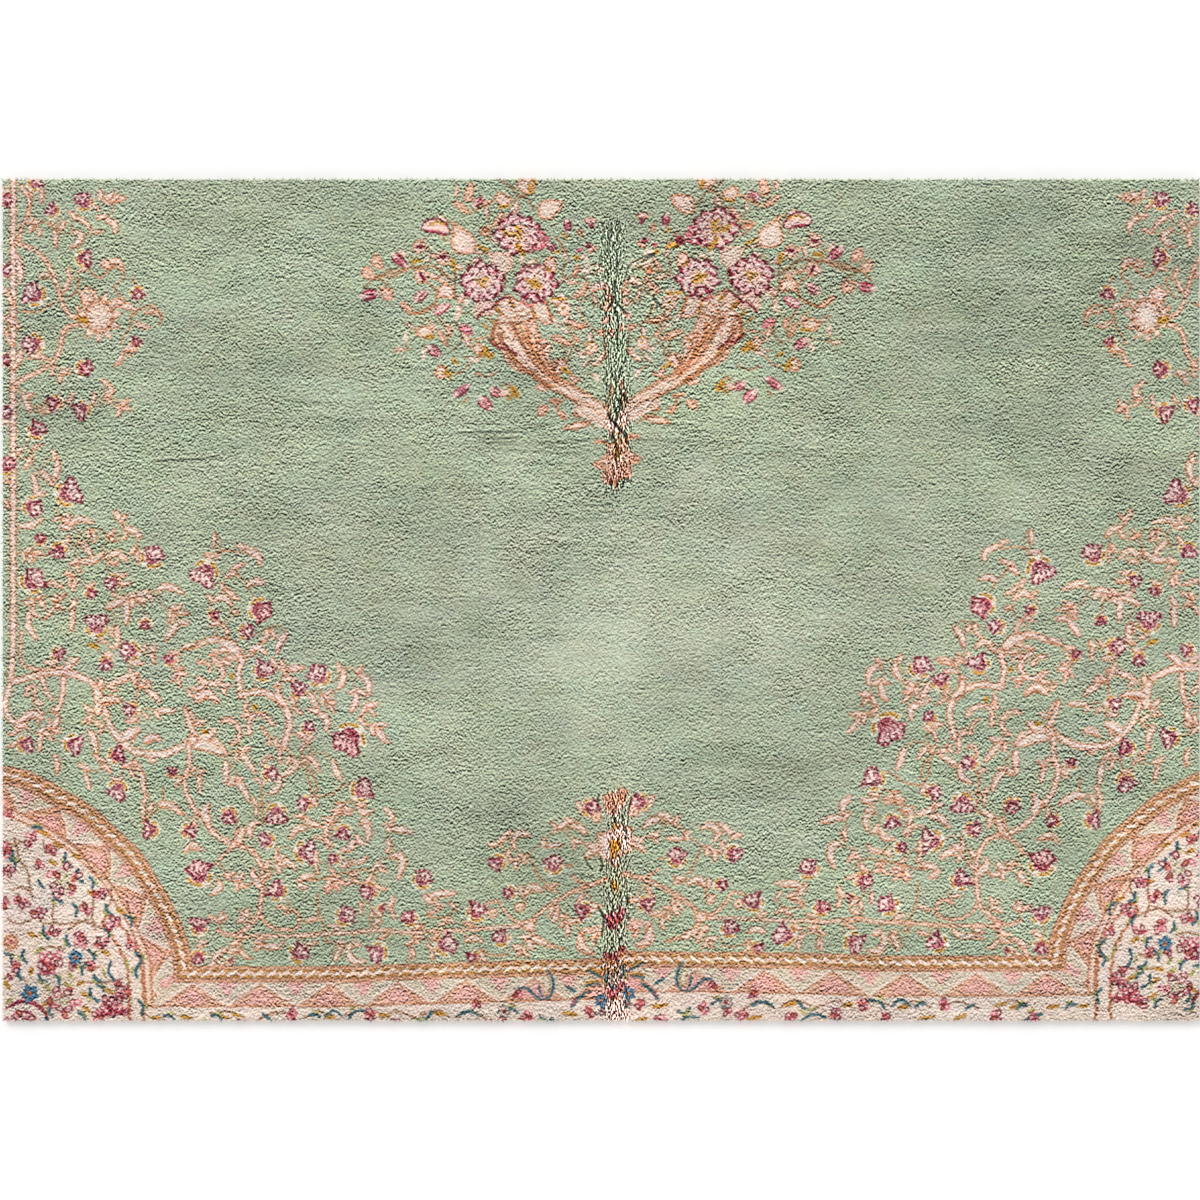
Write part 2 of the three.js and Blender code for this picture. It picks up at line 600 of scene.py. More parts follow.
@dataclass(frozen=True)
class Posy:
    """A tight clump of small petals, as the corners and the front strip hold.

    Attributes:
        u: Place across.
        v: Place up.
        size: Width of the clump.
        petals: Number of petals, or 0 for one that suits the size.
        heart: The colour of the middle, if it is open.
    """

    u: float
    v: float
    size: float
    petals: int = 0
    heart: Yarn | None = None

    def draw(self, cartoon: Cartoon) -> None:
        """Draws the clump.

        Args:
            cartoon: The drawing that it goes on.
        """
        count = self.petals or (3 if self.size < 8 else 4 if self.size < 10.5 else 5)
        window = cartoon.square(self.u, self.v, 0.75 * self.size)
        phase = 0.7 * self.u + 1.1 * self.v
        if self.heart is not None:
            cartoon.lay(window, 0.30 * self.size - np.hypot(window.u - self.u, window.v - self.v), Yarn.MIST)
        for step in range(count):
            turn = phase + 2 * math.pi * step / count + 0.4 * math.sin(3 * step + phase)
            spread = (0.33 + 0.09 * math.sin(2.3 * step + phase)) * self.size
            if count > 5 and step % 3 == 2 and self.heart is None:
                spread *= 0.35
            du = window.u - self.u - spread * math.cos(turn)
            dv = window.v - self.v - spread * math.sin(turn)
            lean = turn + 0.5 * math.pi * (step % 2) + 0.5 * math.sin(1.7 * step + 2 * phase)
            long = np.abs(du * math.cos(lean) + dv * math.sin(lean))
            wide = np.abs(dv * math.cos(lean) - du * math.sin(lean))
            reach = min(1.9 + 0.06 * self.size, 3.1)
            depth = (1.0 - np.hypot(long / reach, wide / (0.68 * reach))) * 0.68 * reach
            cartoon.lay(window, depth + 0.55, Yarn.WINE if (step + int(self.u)) % 2 == 0 else Yarn.ROSE)
            cartoon.lay(window, depth - 0.5, (Yarn.IVORY, Yarn.BLUSH, Yarn.SALMON)[step % 3])
        if self.heart is not None:
            for turn in (phase, phase + 2.2, phase + 4.1):
                du = window.u - self.u - 0.11 * self.size * math.cos(turn)
                dv = window.v - self.v - 0.11 * self.size * math.sin(turn)
                cartoon.lay(window, 1.3 - np.hypot(du, dv), self.heart)


@dataclass(frozen=True)
class Patch:
    """A plain shape with a smooth edge, such as a petal of the bouquet's horns.

    Attributes:
        outline: Places round its edge.
        rim: The outline's colour.
        core: The colour inside.
        line: Width of the outline.
    """

    outline: Path
    rim: Yarn = Yarn.SALMON
    core: Yarn = Yarn.CREAM
    line: float = 1.2

    def depth(self, window: Window) -> np.ndarray:
        """Measures how far inside the shape each place is.

        Args:
            window: The places.

        Returns:
            The depth, below 0 outside the shape.
        """
        closed = rounded([*self.outline, self.outline[0]])
        inside = np.zeros(window.u.shape, dtype=bool)
        for (u0, v0), (u1, v1) in zip(closed[:-1], closed[1:]):
            if v0 != v1:
                crossing = u0 + (window.v - v0) * (u1 - u0) / (v1 - v0)
                inside ^= ((v0 > window.v) != (v1 > window.v)) & (window.u < crossing)
        distance = measure(window.u, window.v, closed).distance
        return np.where(inside, distance, -distance)

    def draw(self, cartoon: Cartoon) -> None:
        """Draws the shape.

        Args:
            cartoon: The drawing that it goes on.
        """
        window = cartoon.around(np.array(self.outline, dtype=float), 4.0)
        depth = self.depth(window)
        cartoon.lay(window, depth, self.rim)
        cartoon.lay(window, depth - self.line, Yarn.PEACH)
        cartoon.lay(window, depth - self.line - 1.5, self.core, 0.8)


class Stroke(NamedTuple):
    """One stroke of a table.

    Attributes:
        path: The places it runs through.
        width: Its greatest width.
        rim: Its colour, or its outline's.
        core: The colour inside, if it has an outline.
    """

    path: Path
    width: float
    rim: Yarn
    core: Yarn | None


def strokes(rim: Yarn, core: Yarn | None, *rows: tuple) -> tuple[Stroke, ...]:
    """Lists strokes of the same colours.

    Args:
        rim: Their colour, or their outline's.
        core: The colour inside, or None for plain strokes.
        rows: The width of each stroke, and the places it runs through.

    Returns:
        The strokes in the order of the rows.
    """
    return tuple(Stroke(tuple(places), width, rim, core) for width, *places in rows)


def patches(rim: Yarn, core: Yarn, *outlines: Path) -> tuple[Patch, ...]:
    """Lists plain shapes of the same colours.

    Args:
        rim: The outlines' colour.
        core: The colour inside.
        outlines: The places round each shape.

    Returns:
        The shapes in the same order.
    """
    return tuple(Patch(outline, rim, core) for outline in outlines)


def as_path(*places: np.ndarray) -> Path:
    """Writes places as a path: the places in order."""
    return tuple(tuple(place) for place in places)


# The vines: the places that each one runs through, and its whole width. All are in millimetres.
VINES: tuple[tuple[Path, float], ...] = (
    (((505, 712), (505, 600), (505, 450), (505, 330), (507, 285), (512, 262), (504, 249), (495, 247)), 6.6),
    (((492, 712), (490, 690), (492, 675), (497, 665), (500, 650)), 4.0),
    (((503, 650), (490, 645), (480, 638), (472, 625), (468, 612), (464, 600), (458, 590), (450, 586)), 4.6),
    (((505, 530), (495, 537), (482, 543), (472, 550), (466, 560), (464, 570), (460, 578), (450, 582)), 4.6),
    (((505, 283), (495, 286), (480, 290), (462, 291), (450, 288), (438, 281), (432, 270), (428, 258),
     (423, 245), (415, 234), (405, 226), (393, 223), (378, 223), (365, 229), (356, 235)), 8.4),
    (((498, 325), (498, 300), (490, 295), (475, 293), (460, 296)), 3.4),
    (((481, 287), (478, 277), (473, 269)), 5.4), (((463, 286), (464, 272), (467, 262), (472, 259)), 5.6),
    (((494, 272), (492, 279), (487, 279), (487, 270)), 4.4),
    (((358, 232), (358, 215), (362, 200), (358, 185), (352, 175), (345, 168), (340, 160), (332, 153),
     (320, 147)), 5.6), (((320, 146), (328, 140), (335, 131)), 3.4), (((320, 150), (318, 160)), 3.4),
    (((320, 147), (315, 146), (305, 142), (300, 134), (297, 125), (297, 112), (298, 100), (300, 90),
     (305, 82), (315, 74)), 4.8), (((315, 73), (325, 72), (334, 75)), 3.6),
    (((298, 90), (295, 83), (288, 78), (278, 76), (268, 78), (266, 86), (270, 92), (278, 90)), 3.2),
    (((352, 314), (340, 318), (330, 318), (322, 314), (316, 306), (314, 300), (317, 290), (316, 280),
     (315, 272)), 6.2), (((338, 303), (332, 297), (330, 290), (333, 284), (341, 281), (350, 286)), 5.8),
    (((350, 300), (343, 299), (340, 293)), 4.6),
    (((315, 272), (300, 275), (290, 272), (282, 266), (276, 258), (274, 248), (276, 240), (279, 228)), 6.6),
    (((308, 240), (308, 250), (302, 256), (294, 254), (288, 248)), 5.4),
    (((297, 244), (292, 238), (291, 232)), 4.0),
    (((330, 251), (322, 251), (317, 245), (316, 237), (322, 232)), 5.2),
    (((315, 70), (300, 71), (270, 71), (245, 73), (220, 74), (200, 76), (180, 74), (160, 75), (130, 76),
     (105, 78), (85, 79), (72, 80)), 3.9),
    (((10, 118), (25, 113), (40, 107), (52, 100), (62, 93), (70, 85), (72, 80)), 4.2),
    (((25, 113), (33, 117), (38, 121)), 3.0), (((110, 98), (100, 100), (95, 92), (85, 83), (75, 82)), 3.4),
    (((73, 75), (60, 65), (45, 60)), 3.0),
)

# Tendrils: thin lines of one colour.
TENDRILS: tuple[Path, ...] = (
    ((334, 391), (325, 393), (315, 391), (307, 394)), ((318, 374), (313, 367)),
    ((260, 214), (259, 205), (257, 195), (253, 188), (245, 188), (238, 190), (230, 196), (222, 199)),
    ((257, 210), (252, 200), (252, 192)), ((235, 182), (226, 183), (221, 185)),
    ((298, 195), (297, 182), (296, 165)), ((268, 118), (250, 118), (232, 123), (210, 127)),
    ((243, 65), (246, 80), (250, 92), (251, 107)), ((450, 620), (452, 610), (459, 603)),
    ((497, 593), (485, 592), (475, 597), (470, 600)),
    ((440, 625), (433, 620), (428, 624), (420, 630), (412, 622), (420, 612), (413, 603), (409, 598)),
    ((405, 590), (398, 595), (390, 597), (383, 592), (380, 588), (383, 581)),
    ((406, 590), (407, 580), (412, 572), (415, 565)), ((402, 560), (408, 555)), ((405, 620), (402, 614)),
    ((380, 195), (380, 180), (390, 172), (398, 165)), ((400, 290), (402, 270), (400, 255)),
    ((115, 60), (105, 55), (92, 55)), ((72, 108), (78, 104), (78, 95)), ((38, 130), (50, 130)),
    ((65, 118), (70, 130), (75, 140)), ((160, 88), (150, 86), (140, 88)),
    ((200, 620), (190, 624), (180, 627), (170, 629), (155, 630), (140, 621)),
    ((180, 597), (170, 590), (158, 594), (152, 600)), ((130, 570), (120, 569), (108, 572)),
)

# Leaves: stalk, sometimes a middle, and tip.
LEAVES: tuple[Path, ...] = (
    ((337, 408), (337, 394)), ((311, 394), (300, 388), (299, 380)), ((324, 377), (311, 382)),
    ((310, 362), (303, 367), (294, 365)), ((328, 361), (316, 351)), ((337, 351), (330, 354), (322, 347)),
    ((323, 343), (316, 340)), ((331, 331), (327, 326), (325, 320)), ((293, 328), (293, 321), (299, 315)),
    ((275, 324), (281, 318), (285, 306)), ((333, 309), (322, 311), (316, 307)), ((328, 304), (316, 302)),
    ((313, 303), (302, 308)), ((308, 310), (300, 312), (293, 306)), ((332, 280), (326, 272)),
    ((349, 270), (340, 271), (334, 265)), ((312, 261), (308, 256)), ((287, 296), (280, 294), (277, 288)),
    ((281, 282), (288, 279)), ((275, 294), (270, 296), (261, 295)), ((230, 294), (229, 286), (234, 276)),
    ((246, 271), (240, 275), (236, 273)), ((257, 275), (253, 265), (249, 261)),
    ((250, 257), (243, 252), (244, 242)), ((242, 265), (236, 257)), ((217, 290), (209, 284), (207, 272)),
    ((218, 275), (219, 266), (224, 258)), ((209, 262), (202, 254)), ((207, 247), (192, 247)),
    ((204, 246), (196, 236), (191, 232)), ((272, 262), (263, 256)), ((316, 226), (310, 218), (302, 207)),
    ((327, 218), (327, 208), (328, 198)), ((319, 200), (313, 195), (308, 183)),
    ((297, 214), (293, 221), (288, 219)), ((282, 228), (282, 214)), ((260, 235), (265, 224)),
    ((273, 221), (268, 216), (262, 214)), ((280, 204), (272, 210), (265, 214)),
    ((282, 205), (284, 195), (293, 189)), ((258, 222), (252, 214), (249, 208)),
    ((238, 219), (235, 208), (231, 200)), ((218, 180), (212, 174), (203, 176)), ((230, 176), (222, 172)),
    ((196, 178), (189, 172), (190, 162)), ((190, 160), (182, 160), (171, 157)),
    ((262, 170), (256, 165), (247, 163)), ((238, 166), (244, 162), (242, 153)),
    ((259, 161), (268, 160), (275, 152)), ((214, 166), (208, 160), (209, 150)),
    ((219, 152), (224, 144), (232, 143)), ((245, 152), (241, 143)), ((192, 153), (191, 147), (193, 140)),
    ((222, 132), (215, 133), (209, 138)), ((253, 133), (252, 128), (249, 122)),
    ((268, 116), (261, 120), (252, 122)), ((284, 130), (275, 132), (268, 126)), ((285, 143), (286, 131)),
    ((241, 127), (235, 121)), ((300, 166), (307, 162), (306, 152)), ((302, 180), (302, 170)),
    ((296, 118), (288, 124)), ((318, 117), (312, 113), (306, 115)), ((328, 121), (322, 117)),
    ((334, 118), (332, 112), (340, 105)), ((190, 137), (182, 138), (180, 130), (184, 118)),
    ((205, 125), (200, 131), (195, 127)), ((238, 115), (231, 108)), ((222, 118), (215, 115)),
    ((297, 62), (285, 62), (278, 67)), ((260, 63), (250, 66)), ((235, 65), (228, 66)),
    ((236, 50), (232, 60), (228, 64)), ((222, 65), (225, 58), (220, 50), (210, 50)),
    ((338, 50), (332, 58), (325, 60)), ((316, 60), (311, 54), (305, 52)), ((172, 62), (174, 50)),
    ((260, 82), (255, 86), (250, 85)), ((334, 84), (329, 92)), ((190, 95), (186, 85)),
    ((215, 100), (214, 88)), ((205, 92), (206, 84)), ((310, 86), (316, 93)), ((445, 208), (441, 193)),
    ((398, 210), (395, 188)), ((397, 183), (396, 168)), ((384, 180), (374, 180), (362, 172)),
    ((405, 215), (396, 207)), ((350, 205), (348, 190)), ((357, 145), (345, 143)), ((486, 352), (480, 356)),
    ((476, 367), (462, 362)), ((457, 372), (458, 362)), ((470, 350), (460, 357)), ((455, 345), (456, 325)),
    ((490, 345), (492, 330), (485, 318)), ((470, 345), (480, 335)), ((418, 330), (418, 315), (425, 312)),
    ((410, 355), (410, 330)), ((428, 345), (410, 352)), ((405, 352), (395, 357), (388, 350)),
    ((385, 358), (378, 363), (362, 357)), ((370, 342), (357, 340)), ((367, 333), (378, 317)),
    ((388, 308), (388, 297)), ((364, 311), (350, 316)), ((425, 281), (410, 287), (400, 290)),
    ((408, 295), (402, 280)), ((395, 278), (385, 270), (382, 265)), ((385, 259), (368, 259)),
    ((368, 289), (365, 278)), ((475, 243), (468, 250), (469, 258)), ((482, 240), (483, 224)),
    ((442, 243), (437, 235), (435, 223)), ((430, 245), (433, 240)), ((395, 232), (385, 237)),
    ((392, 220), (385, 216)), ((405, 218), (398, 212)), ((355, 270), (347, 275)),
    ((497, 525), (492, 512), (488, 508)), ((485, 512), (478, 506)), ((425, 532), (423, 525), (430, 520)),
    ((427, 520), (421, 514)), ((415, 513), (406, 510)), ((489, 472), (493, 466), (495, 460)),
    ((468, 470), (468, 460), (472, 450)), ((482, 459), (475, 452), (471, 446)),
    ((488, 457), (486, 447), (484, 440), (477, 441)), ((500, 413), (490, 414), (480, 420)),
    ((465, 421), (459, 413)), ((458, 414), (450, 419), (437, 416)), ((442, 411), (442, 400)),
    ((450, 400), (443, 394), (438, 386)), ((420, 427), (415, 417), (414, 413)),
    ((412, 413), (404, 409), (397, 403)), ((425, 403), (417, 401)), ((428, 386), (418, 391), (409, 384)),
    ((401, 393), (401, 381)), ((450, 383), (437, 385), (428, 392)), ((497, 392), (495, 383)),
    ((490, 389), (484, 386)), ((512, 435), (508, 428)), ((480, 695), (482, 682)), ((493, 690), (490, 680)),
    ((490, 665), (480, 669)), ((430, 687), (424, 681)), ((422, 684), (410, 688)),
    ((452, 671), (445, 667), (440, 660)), ((440, 658), (430, 660)), ((428, 670), (420, 665), (420, 657)),
    ((455, 660), (448, 655), (452, 648), (458, 646)), ((470, 660), (469, 645)),
    ((502, 640), (499, 628), (498, 615)), ((484, 620), (478, 624), (472, 620)),
    ((457, 620), (461, 612), (464, 607)), ((509, 610), (507, 602), (504, 597)),
    ((512, 588), (505, 584), (498, 578)), ((511, 575), (508, 568), (503, 564)),
    ((498, 560), (500, 552), (505, 543)), ((483, 556), (475, 552)), ((425, 633), (417, 634), (413, 627)),
    ((416, 597), (407, 596), (401, 592)), ((387, 593), (382, 587)), ((404, 584), (397, 580), (390, 580)),
    ((413, 558), (416, 551), (421, 547)), ((464, 540), (467, 532)), ((158, 104), (150, 106), (135, 107)),
    ((155, 100), (145, 95)), ((140, 100), (135, 92)), ((143, 85), (135, 82)), ((170, 68), (165, 65)),
    ((172, 62), (170, 52)), ((155, 60), (155, 50)), ((128, 66), (120, 69), (112, 66)),
    ((62, 108), (72, 112), (78, 105)), ((60, 112), (50, 108)), ((87, 133), (78, 140)),
    ((88, 150), (82, 157), (73, 154)), ((100, 148), (88, 160)), ((50, 160), (42, 167), (36, 165)),
    ((40, 163), (32, 162), (25, 155)), ((60, 146), (45, 147)), ((38, 150), (36, 143)), ((50, 90), (50, 98)),
    ((45, 83), (30, 84)), ((73, 70), (57, 62)), ((80, 60), (85, 53)), ((30, 72), (32, 62), (22, 55)),
    ((20, 70), (12, 74)), ((352, 250), (361, 262)), ((350, 232), (335, 232), (325, 222)),
    ((405, 243), (404, 232)), ((485, 258), (484, 247)), ((351, 172), (343, 176)), ((443, 596), (443, 611)),
    ((440, 257), (447, 248)), ((430, 265), (415, 268)),
)

# Broad leaves where vines meet or end: stalk, middle and tip, and the width.
BROAD_LEAVES: tuple[tuple[Path, float], ...] = (
    (((352, 227), (345, 236), (336, 243)), 10.5), (((357, 232), (342, 229), (328, 222)), 10.0),
    (((352, 236), (358, 250), (362, 263)), 6.0), (((434, 256), (433, 268), (437, 281)), 9.0),
    (((434, 266), (424, 269), (413, 267)), 7.0), (((414, 233), (408, 240), (399, 243)), 8.5),
    (((396, 232), (389, 237), (381, 235)), 6.5), (((500, 249), (489, 256), (479, 252)), 7.5),
    (((470, 223), (468, 214), (469, 206)), 5.5), (((433, 214), (427, 212), (423, 207)), 5.0),
    (((341, 165), (345, 173), (341, 181)), 8.0), (((353, 266), (343, 274), (333, 267)), 7.0),
    (((318, 145), (315, 154), (312, 162)), 7.0), (((385, 181), (374, 180), (363, 172)), 7.0),
    (((462, 292), (457, 299), (449, 303)), 7.0), (((316, 306), (324, 314), (334, 317)), 9.0),
    (((297, 112), (304, 120), (305, 128)), 7.0), (((276, 262), (283, 270), (283, 279)), 7.0),
)

# Rosebuds: u, v, width, and the way that the petals point in degrees.
ROSEBUDS: tuple[tuple[float, float, float, float], ...] = (
    (488, 368, 19, 45), (422, 366, 12, 215), (440, 357, 9, -50), (435, 331, 18, 90), (395, 331, 9, -90),
    (467, 306, 11, -20), (408, 309, 15, 180), (427, 298, 11, -90), (374, 302, 10, 110), (407, 260, 12, 200),
    (494, 231, 13, 0), (454, 231, 15, -20), (418, 222, 13, 15), (372, 208, 9, 90), (345, 373, 20, 240),
    (337, 339, 9, 0), (298, 343, 18, -30), (310, 325, 12, 0), (296, 293, 16, 50), (266, 277, 13, 90),
    (250, 289, 17, 120), (258, 245, 10, 45), (225, 235, 24, 235), (290, 207, 12, 0), (213, 193, 17, 30),
    (325, 171, 13, -100), (285, 172, 16, -90), (262, 182, 12, 200), (230, 157, 12, -90),
    (294, 151, 12, 180), (260, 141, 17, 0), (237, 136, 9, 170), (350, 124, 20, 100), (285, 109, 15, 135),
    (208, 108, 13, 210), (163, 119, 15, 60), (197, 94, 6, 0), (418, 192, 15, -110), (391, 160, 13, 180),
    (358, 159, 11, 0), (350, 80, 14, 90), (350, 53, 11, -90), (323, 50, 5, 0), (266, 57, 15, 30),
    (201, 57, 15, 215), (227, 88, 15, 35), (174, 86, 12, 130), (512, 508, 12, 0), (471, 516, 12, 200),
    (448, 510, 14, 215), (485, 494, 14, 45), (510, 464, 14, 60), (458, 441, 20, 25), (488, 429, 15, -30),
    (482, 402, 9, 95), (467, 392, 13, 250), (388, 388, 17, 60), (486, 700, 12, 30), (512, 686, 12, 0),
    (473, 677, 11, 145), (446, 685, 14, 120), (445, 637, 13, 0), (512, 627, 10, 0), (488, 607, 18, 150),
    (401, 607, 11, -70), (489, 565, 16, 200), (402, 567, 9, 60), (445, 545, 13, 0), (512, 552, 10, 0),
    (22, 178, 14, 0), (101, 132, 13, 215), (54, 131, 15, 90), (91, 107, 10, 195), (118, 92, 15, 60),
    (29, 92, 13, 200), (98, 70, 13, 130), (143, 64, 17, 20), (121, 53, 10, 200),
)


class Flower(Enum):
    """The kinds of open flower."""

    ROSE = "rose"
    BLUSH = "blush"
    CREAM = "cream"
    SALMON = "salmon"
    STAR = "star"
    PEACH = "peach"
    PEONY = "peony"
    ROSETTE = "rosette"


# How the plainer kinds look; roses, blush roses and peonies have drawings of their own.
FLOWERS: dict[Flower, Bloom] = {
    Flower.CREAM: Bloom(0, 0, 1, 6, 0.2, Yarn.SALMON, Yarn.CREAM, Yarn.BLUSH, Yarn.GOLD, 0.26),
    Flower.SALMON: Bloom(0, 0, 1, 6, 0.2, Yarn.SALMON, Yarn.CREAM, Yarn.SALMON, Yarn.BLUSH, 0.35),
    Flower.STAR: Bloom(0, 0, 1, 5, 0.34, Yarn.BLUE, Yarn.BLUE, Yarn.TEAL, Yarn.RUST, 0.3, 0.66, line=0.8),
    Flower.PEACH: Bloom(0, 0, 1, 6, 0.2, Yarn.RUST, Yarn.PEACH, Yarn.SALMON, Yarn.ROSE, 0.25, 0.6),
    Flower.ROSETTE: Bloom(0, 0, 1, 7, 0.2, Yarn.TEAL, Yarn.PEACH, Yarn.BLUE, Yarn.WINE, 0.3, line=1.0),
}

# Open flowers of the bouquet, the middle and the side ornament: u, v, radius, kind.
FIELD_FLOWERS: tuple[tuple[float, float, float, Flower], ...] = (
    (68, 652, 9, Flower.BLUSH), (84, 657, 18.5, Flower.ROSE), (113, 617, 18, Flower.ROSE),
    (69, 616, 17.5, Flower.ROSE), (110, 660, 5, Flower.SALMON), (166, 646, 6.5, Flower.SALMON),
    (146, 637, 6.5, Flower.SALMON), (164, 622, 7, Flower.SALMON), (45, 595, 7, Flower.CREAM),
    (62, 563, 7, Flower.CREAM), (49, 547, 7, Flower.SALMON), (22, 562, 6, Flower.CREAM),
    (8, 605, 4, Flower.SALMON), (9, 596, 4, Flower.SALMON), (2, 146, 17, Flower.CREAM),
    (105, 90, 5, Flower.CREAM), (18, 170, 5, Flower.CREAM), (355, 235, 5, Flower.SALMON),
    (320, 147, 4, Flower.SALMON), (74, 80, 6, Flower.SALMON), (82, 95, 5, Flower.SALMON),
    (315, 72, 4, Flower.SALMON),
)

# The bouquet's thin stems.
BOUQUET_STEMS: tuple[Stroke, ...] = (
    *strokes(
        Yarn.BROWN, None, (1.6, (212, 612), (203, 620), (192, 626), (184, 629)),
        (1.6, (206, 623), (197, 618), (190, 612)),
    ),
    *strokes(Yarn.RUST, None, (1.6, (191, 620), (180, 625), (171, 632))),
    *strokes(Yarn.BROWN, None, (1.6, (172, 628), (160, 630), (151, 629), (143, 622), (138, 618))),
    *strokes(
        Yarn.RUST, None,
        (1.6, (181, 599), (172, 591), (163, 593), (154, 598), (151, 606), (155, 613), (160, 617)),
    ),
    *strokes(Yarn.BROWN, None, (1.6, (137, 636), (136, 622), (136, 606), (131, 596))),
    *strokes(Yarn.RUST, None, (1.6, (152, 598), (150, 588), (142, 574), (143, 563))),
    *strokes(
        Yarn.BROWN, None, (1.5, (138, 560), (132, 566), (131, 574), (136, 584)),
        (1.5, (99, 606), (94, 615), (94, 625)),
    ),
    *strokes(
        Yarn.SALMON, None, (1.5, (135, 540), (128, 544), (123, 551)),
        (1.6, (119, 541), (110, 538), (101, 542)), (2.0, (120, 676), (112, 680), (104, 684)),
        (2.0, (51, 516), (50, 508), (46, 503)),
    ),
    *strokes(Yarn.RUST, None, (1.6, (96, 530), (92, 532), (88, 529)), (1.5, (129, 516), (125, 521))),
    *strokes(
        Yarn.BROWN, None, (1.5, (100, 703), (91, 698), (84, 690), (76, 687), (70, 678)),
        (1.6, (44, 633), (46, 622), (38, 621), (30, 621), (26, 618)),
        (1.5, (37, 605), (30, 601), (22, 607), (20, 596)),
    ),
    *strokes(
        Yarn.RUST, None, (1.6, (78, 690), (88, 684)), (1.5, (33, 596), (30, 588), (24, 580), (14, 574)),
        (1.6, (44, 581), (36, 577), (25, 580)),
    ),
    *strokes(
        Yarn.BROWN, None, (1.6, (12, 578), (11, 565), (10, 553)), (1.5, (47, 567), (44, 556), (46, 548)),
        (1.5, (39, 561), (41, 553), (44, 548)),
        (1.5, (6, 531), (7, 524), (9, 517), (9, 510), (6, 504), (4, 499), (5, 492)),
    ),
    *strokes(Yarn.SALMON, None, (1.2, (4, 530), (5, 522), (6, 512), (4, 503))),
    *strokes(Yarn.RUST, None, (1.6, (3, 498), (0, 490), (2, 482)), (1.5, (53, 655), (48, 650), (42, 641))),
    *strokes(Yarn.PEACH, None, (2.6, (5, 503), (7, 494), (5, 486))),
)

# Petals, leaves and drops of the bouquet.
PETALS: tuple[Patch, ...] = (
    *patches(
        Yarn.SALMON, Yarn.PEACH,
        ((105, 581), (106, 573), (103, 565), (97, 557), (92, 549), (85, 543), (76, 540), (67, 533),
         (56, 526), (43, 521), (32, 514), (22, 510), (12, 506), (6, 500), (8, 511), (16, 518), (27, 525),
         (38, 531), (48, 536), (54, 543), (59, 554), (63, 566), (66, 576), (71, 586), (90, 587)),
    ),
    *patches(
        Yarn.SALMON, Yarn.CREAM,
        ((104, 583), (99, 590), (100, 600), (92, 606), (82, 601), (72, 598), (69, 586), (86, 582)),
        ((66, 604), (59, 601), (57, 592), (55, 583), (62, 582), (70, 589), (72, 598)),
        ((138, 668), (131, 663), (121, 656), (118, 648), (121, 641), (135, 641), (140, 650), (138, 659)),
        ((67, 676), (64, 684), (53, 686), (46, 683), (50, 675), (57, 669), (65, 670)),
        ((85, 701), (78, 704), (70, 703), (68, 699), (71, 692), (79, 691), (84, 695)),
        ((104, 687), (99, 693), (94, 690), (89, 687), (91, 681), (99, 681)),
    ),
    *patches(
        Yarn.PEACH, Yarn.BLUSH,
        ((118, 585), (121, 595), (114, 603), (103, 601), (98, 594), (104, 589), (112, 589)),
    ),
    *patches(
        Yarn.PEACH, Yarn.CREAM, ((108, 641), (98, 642), (89, 639), (88, 629), (97, 622), (105, 629)),
    ),
    *patches(
        Yarn.SALMON, Yarn.PEACH, ((128, 693), (124, 700), (120, 697), (121, 687), (125, 683), (129, 687)),
        ((207, 632), (203, 641), (197, 636), (195, 628), (201, 628)),
        ((215, 625), (211, 630), (205, 627), (203, 620), (210, 619)),
        ((200, 613), (192, 612), (187, 609), (189, 602), (196, 603)),
    ),
    *patches(
        Yarn.SALMON, Yarn.CREAM, ((152, 603), (150, 612), (144, 616), (137, 611), (137, 603), (145, 604)),
        ((171, 575), (164, 581), (156, 579), (155, 573), (162, 569)),
        ((154, 541), (149, 548), (142, 545), (143, 538), (149, 536)),
        ((122, 562), (117, 567), (112, 561), (114, 553), (119, 556)),
    ),
    *patches(
        Yarn.SALMON, Yarn.BLUSH, ((63, 630), (59, 637), (53, 637), (51, 629), (54, 622), (61, 623)),
    ),
    *patches(
        Yarn.RUST, Yarn.PEACH, ((37, 509), (29, 512), (18, 509), (26, 505), (34, 505)),
        ((47, 494), (39, 499), (28, 501), (19, 503), (27, 496), (38, 493)),
    ),
    *patches(
        Yarn.SALMON, Yarn.PEACH, ((68, 507), (66, 513), (59, 514), (59, 509), (64, 505)),
        ((9, 481), (9, 474), (14, 470), (21, 465), (15, 460), (10, 462), (13, 456), (12, 449), (7, 449),
         (3, 447), (0, 442), (-4, 446), (-8, 460), (-8, 475), (-5, 482), (2, 483)),
    ),
    *patches(
        Yarn.PEACH, Yarn.PEACH,
        ((9, 190), (12, 182), (9, 174), (2, 171), (-6, 174), (-8, 183), (-4, 191), (3, 192)),
    ),
    *patches(
        Yarn.PEACH, Yarn.CREAM,
        ((36, 521), (28, 519), (18, 514), (8, 508), (2, 500), (1, 490), (9, 494), (18, 500), (27, 505),
         (36, 512)),
    ),
)

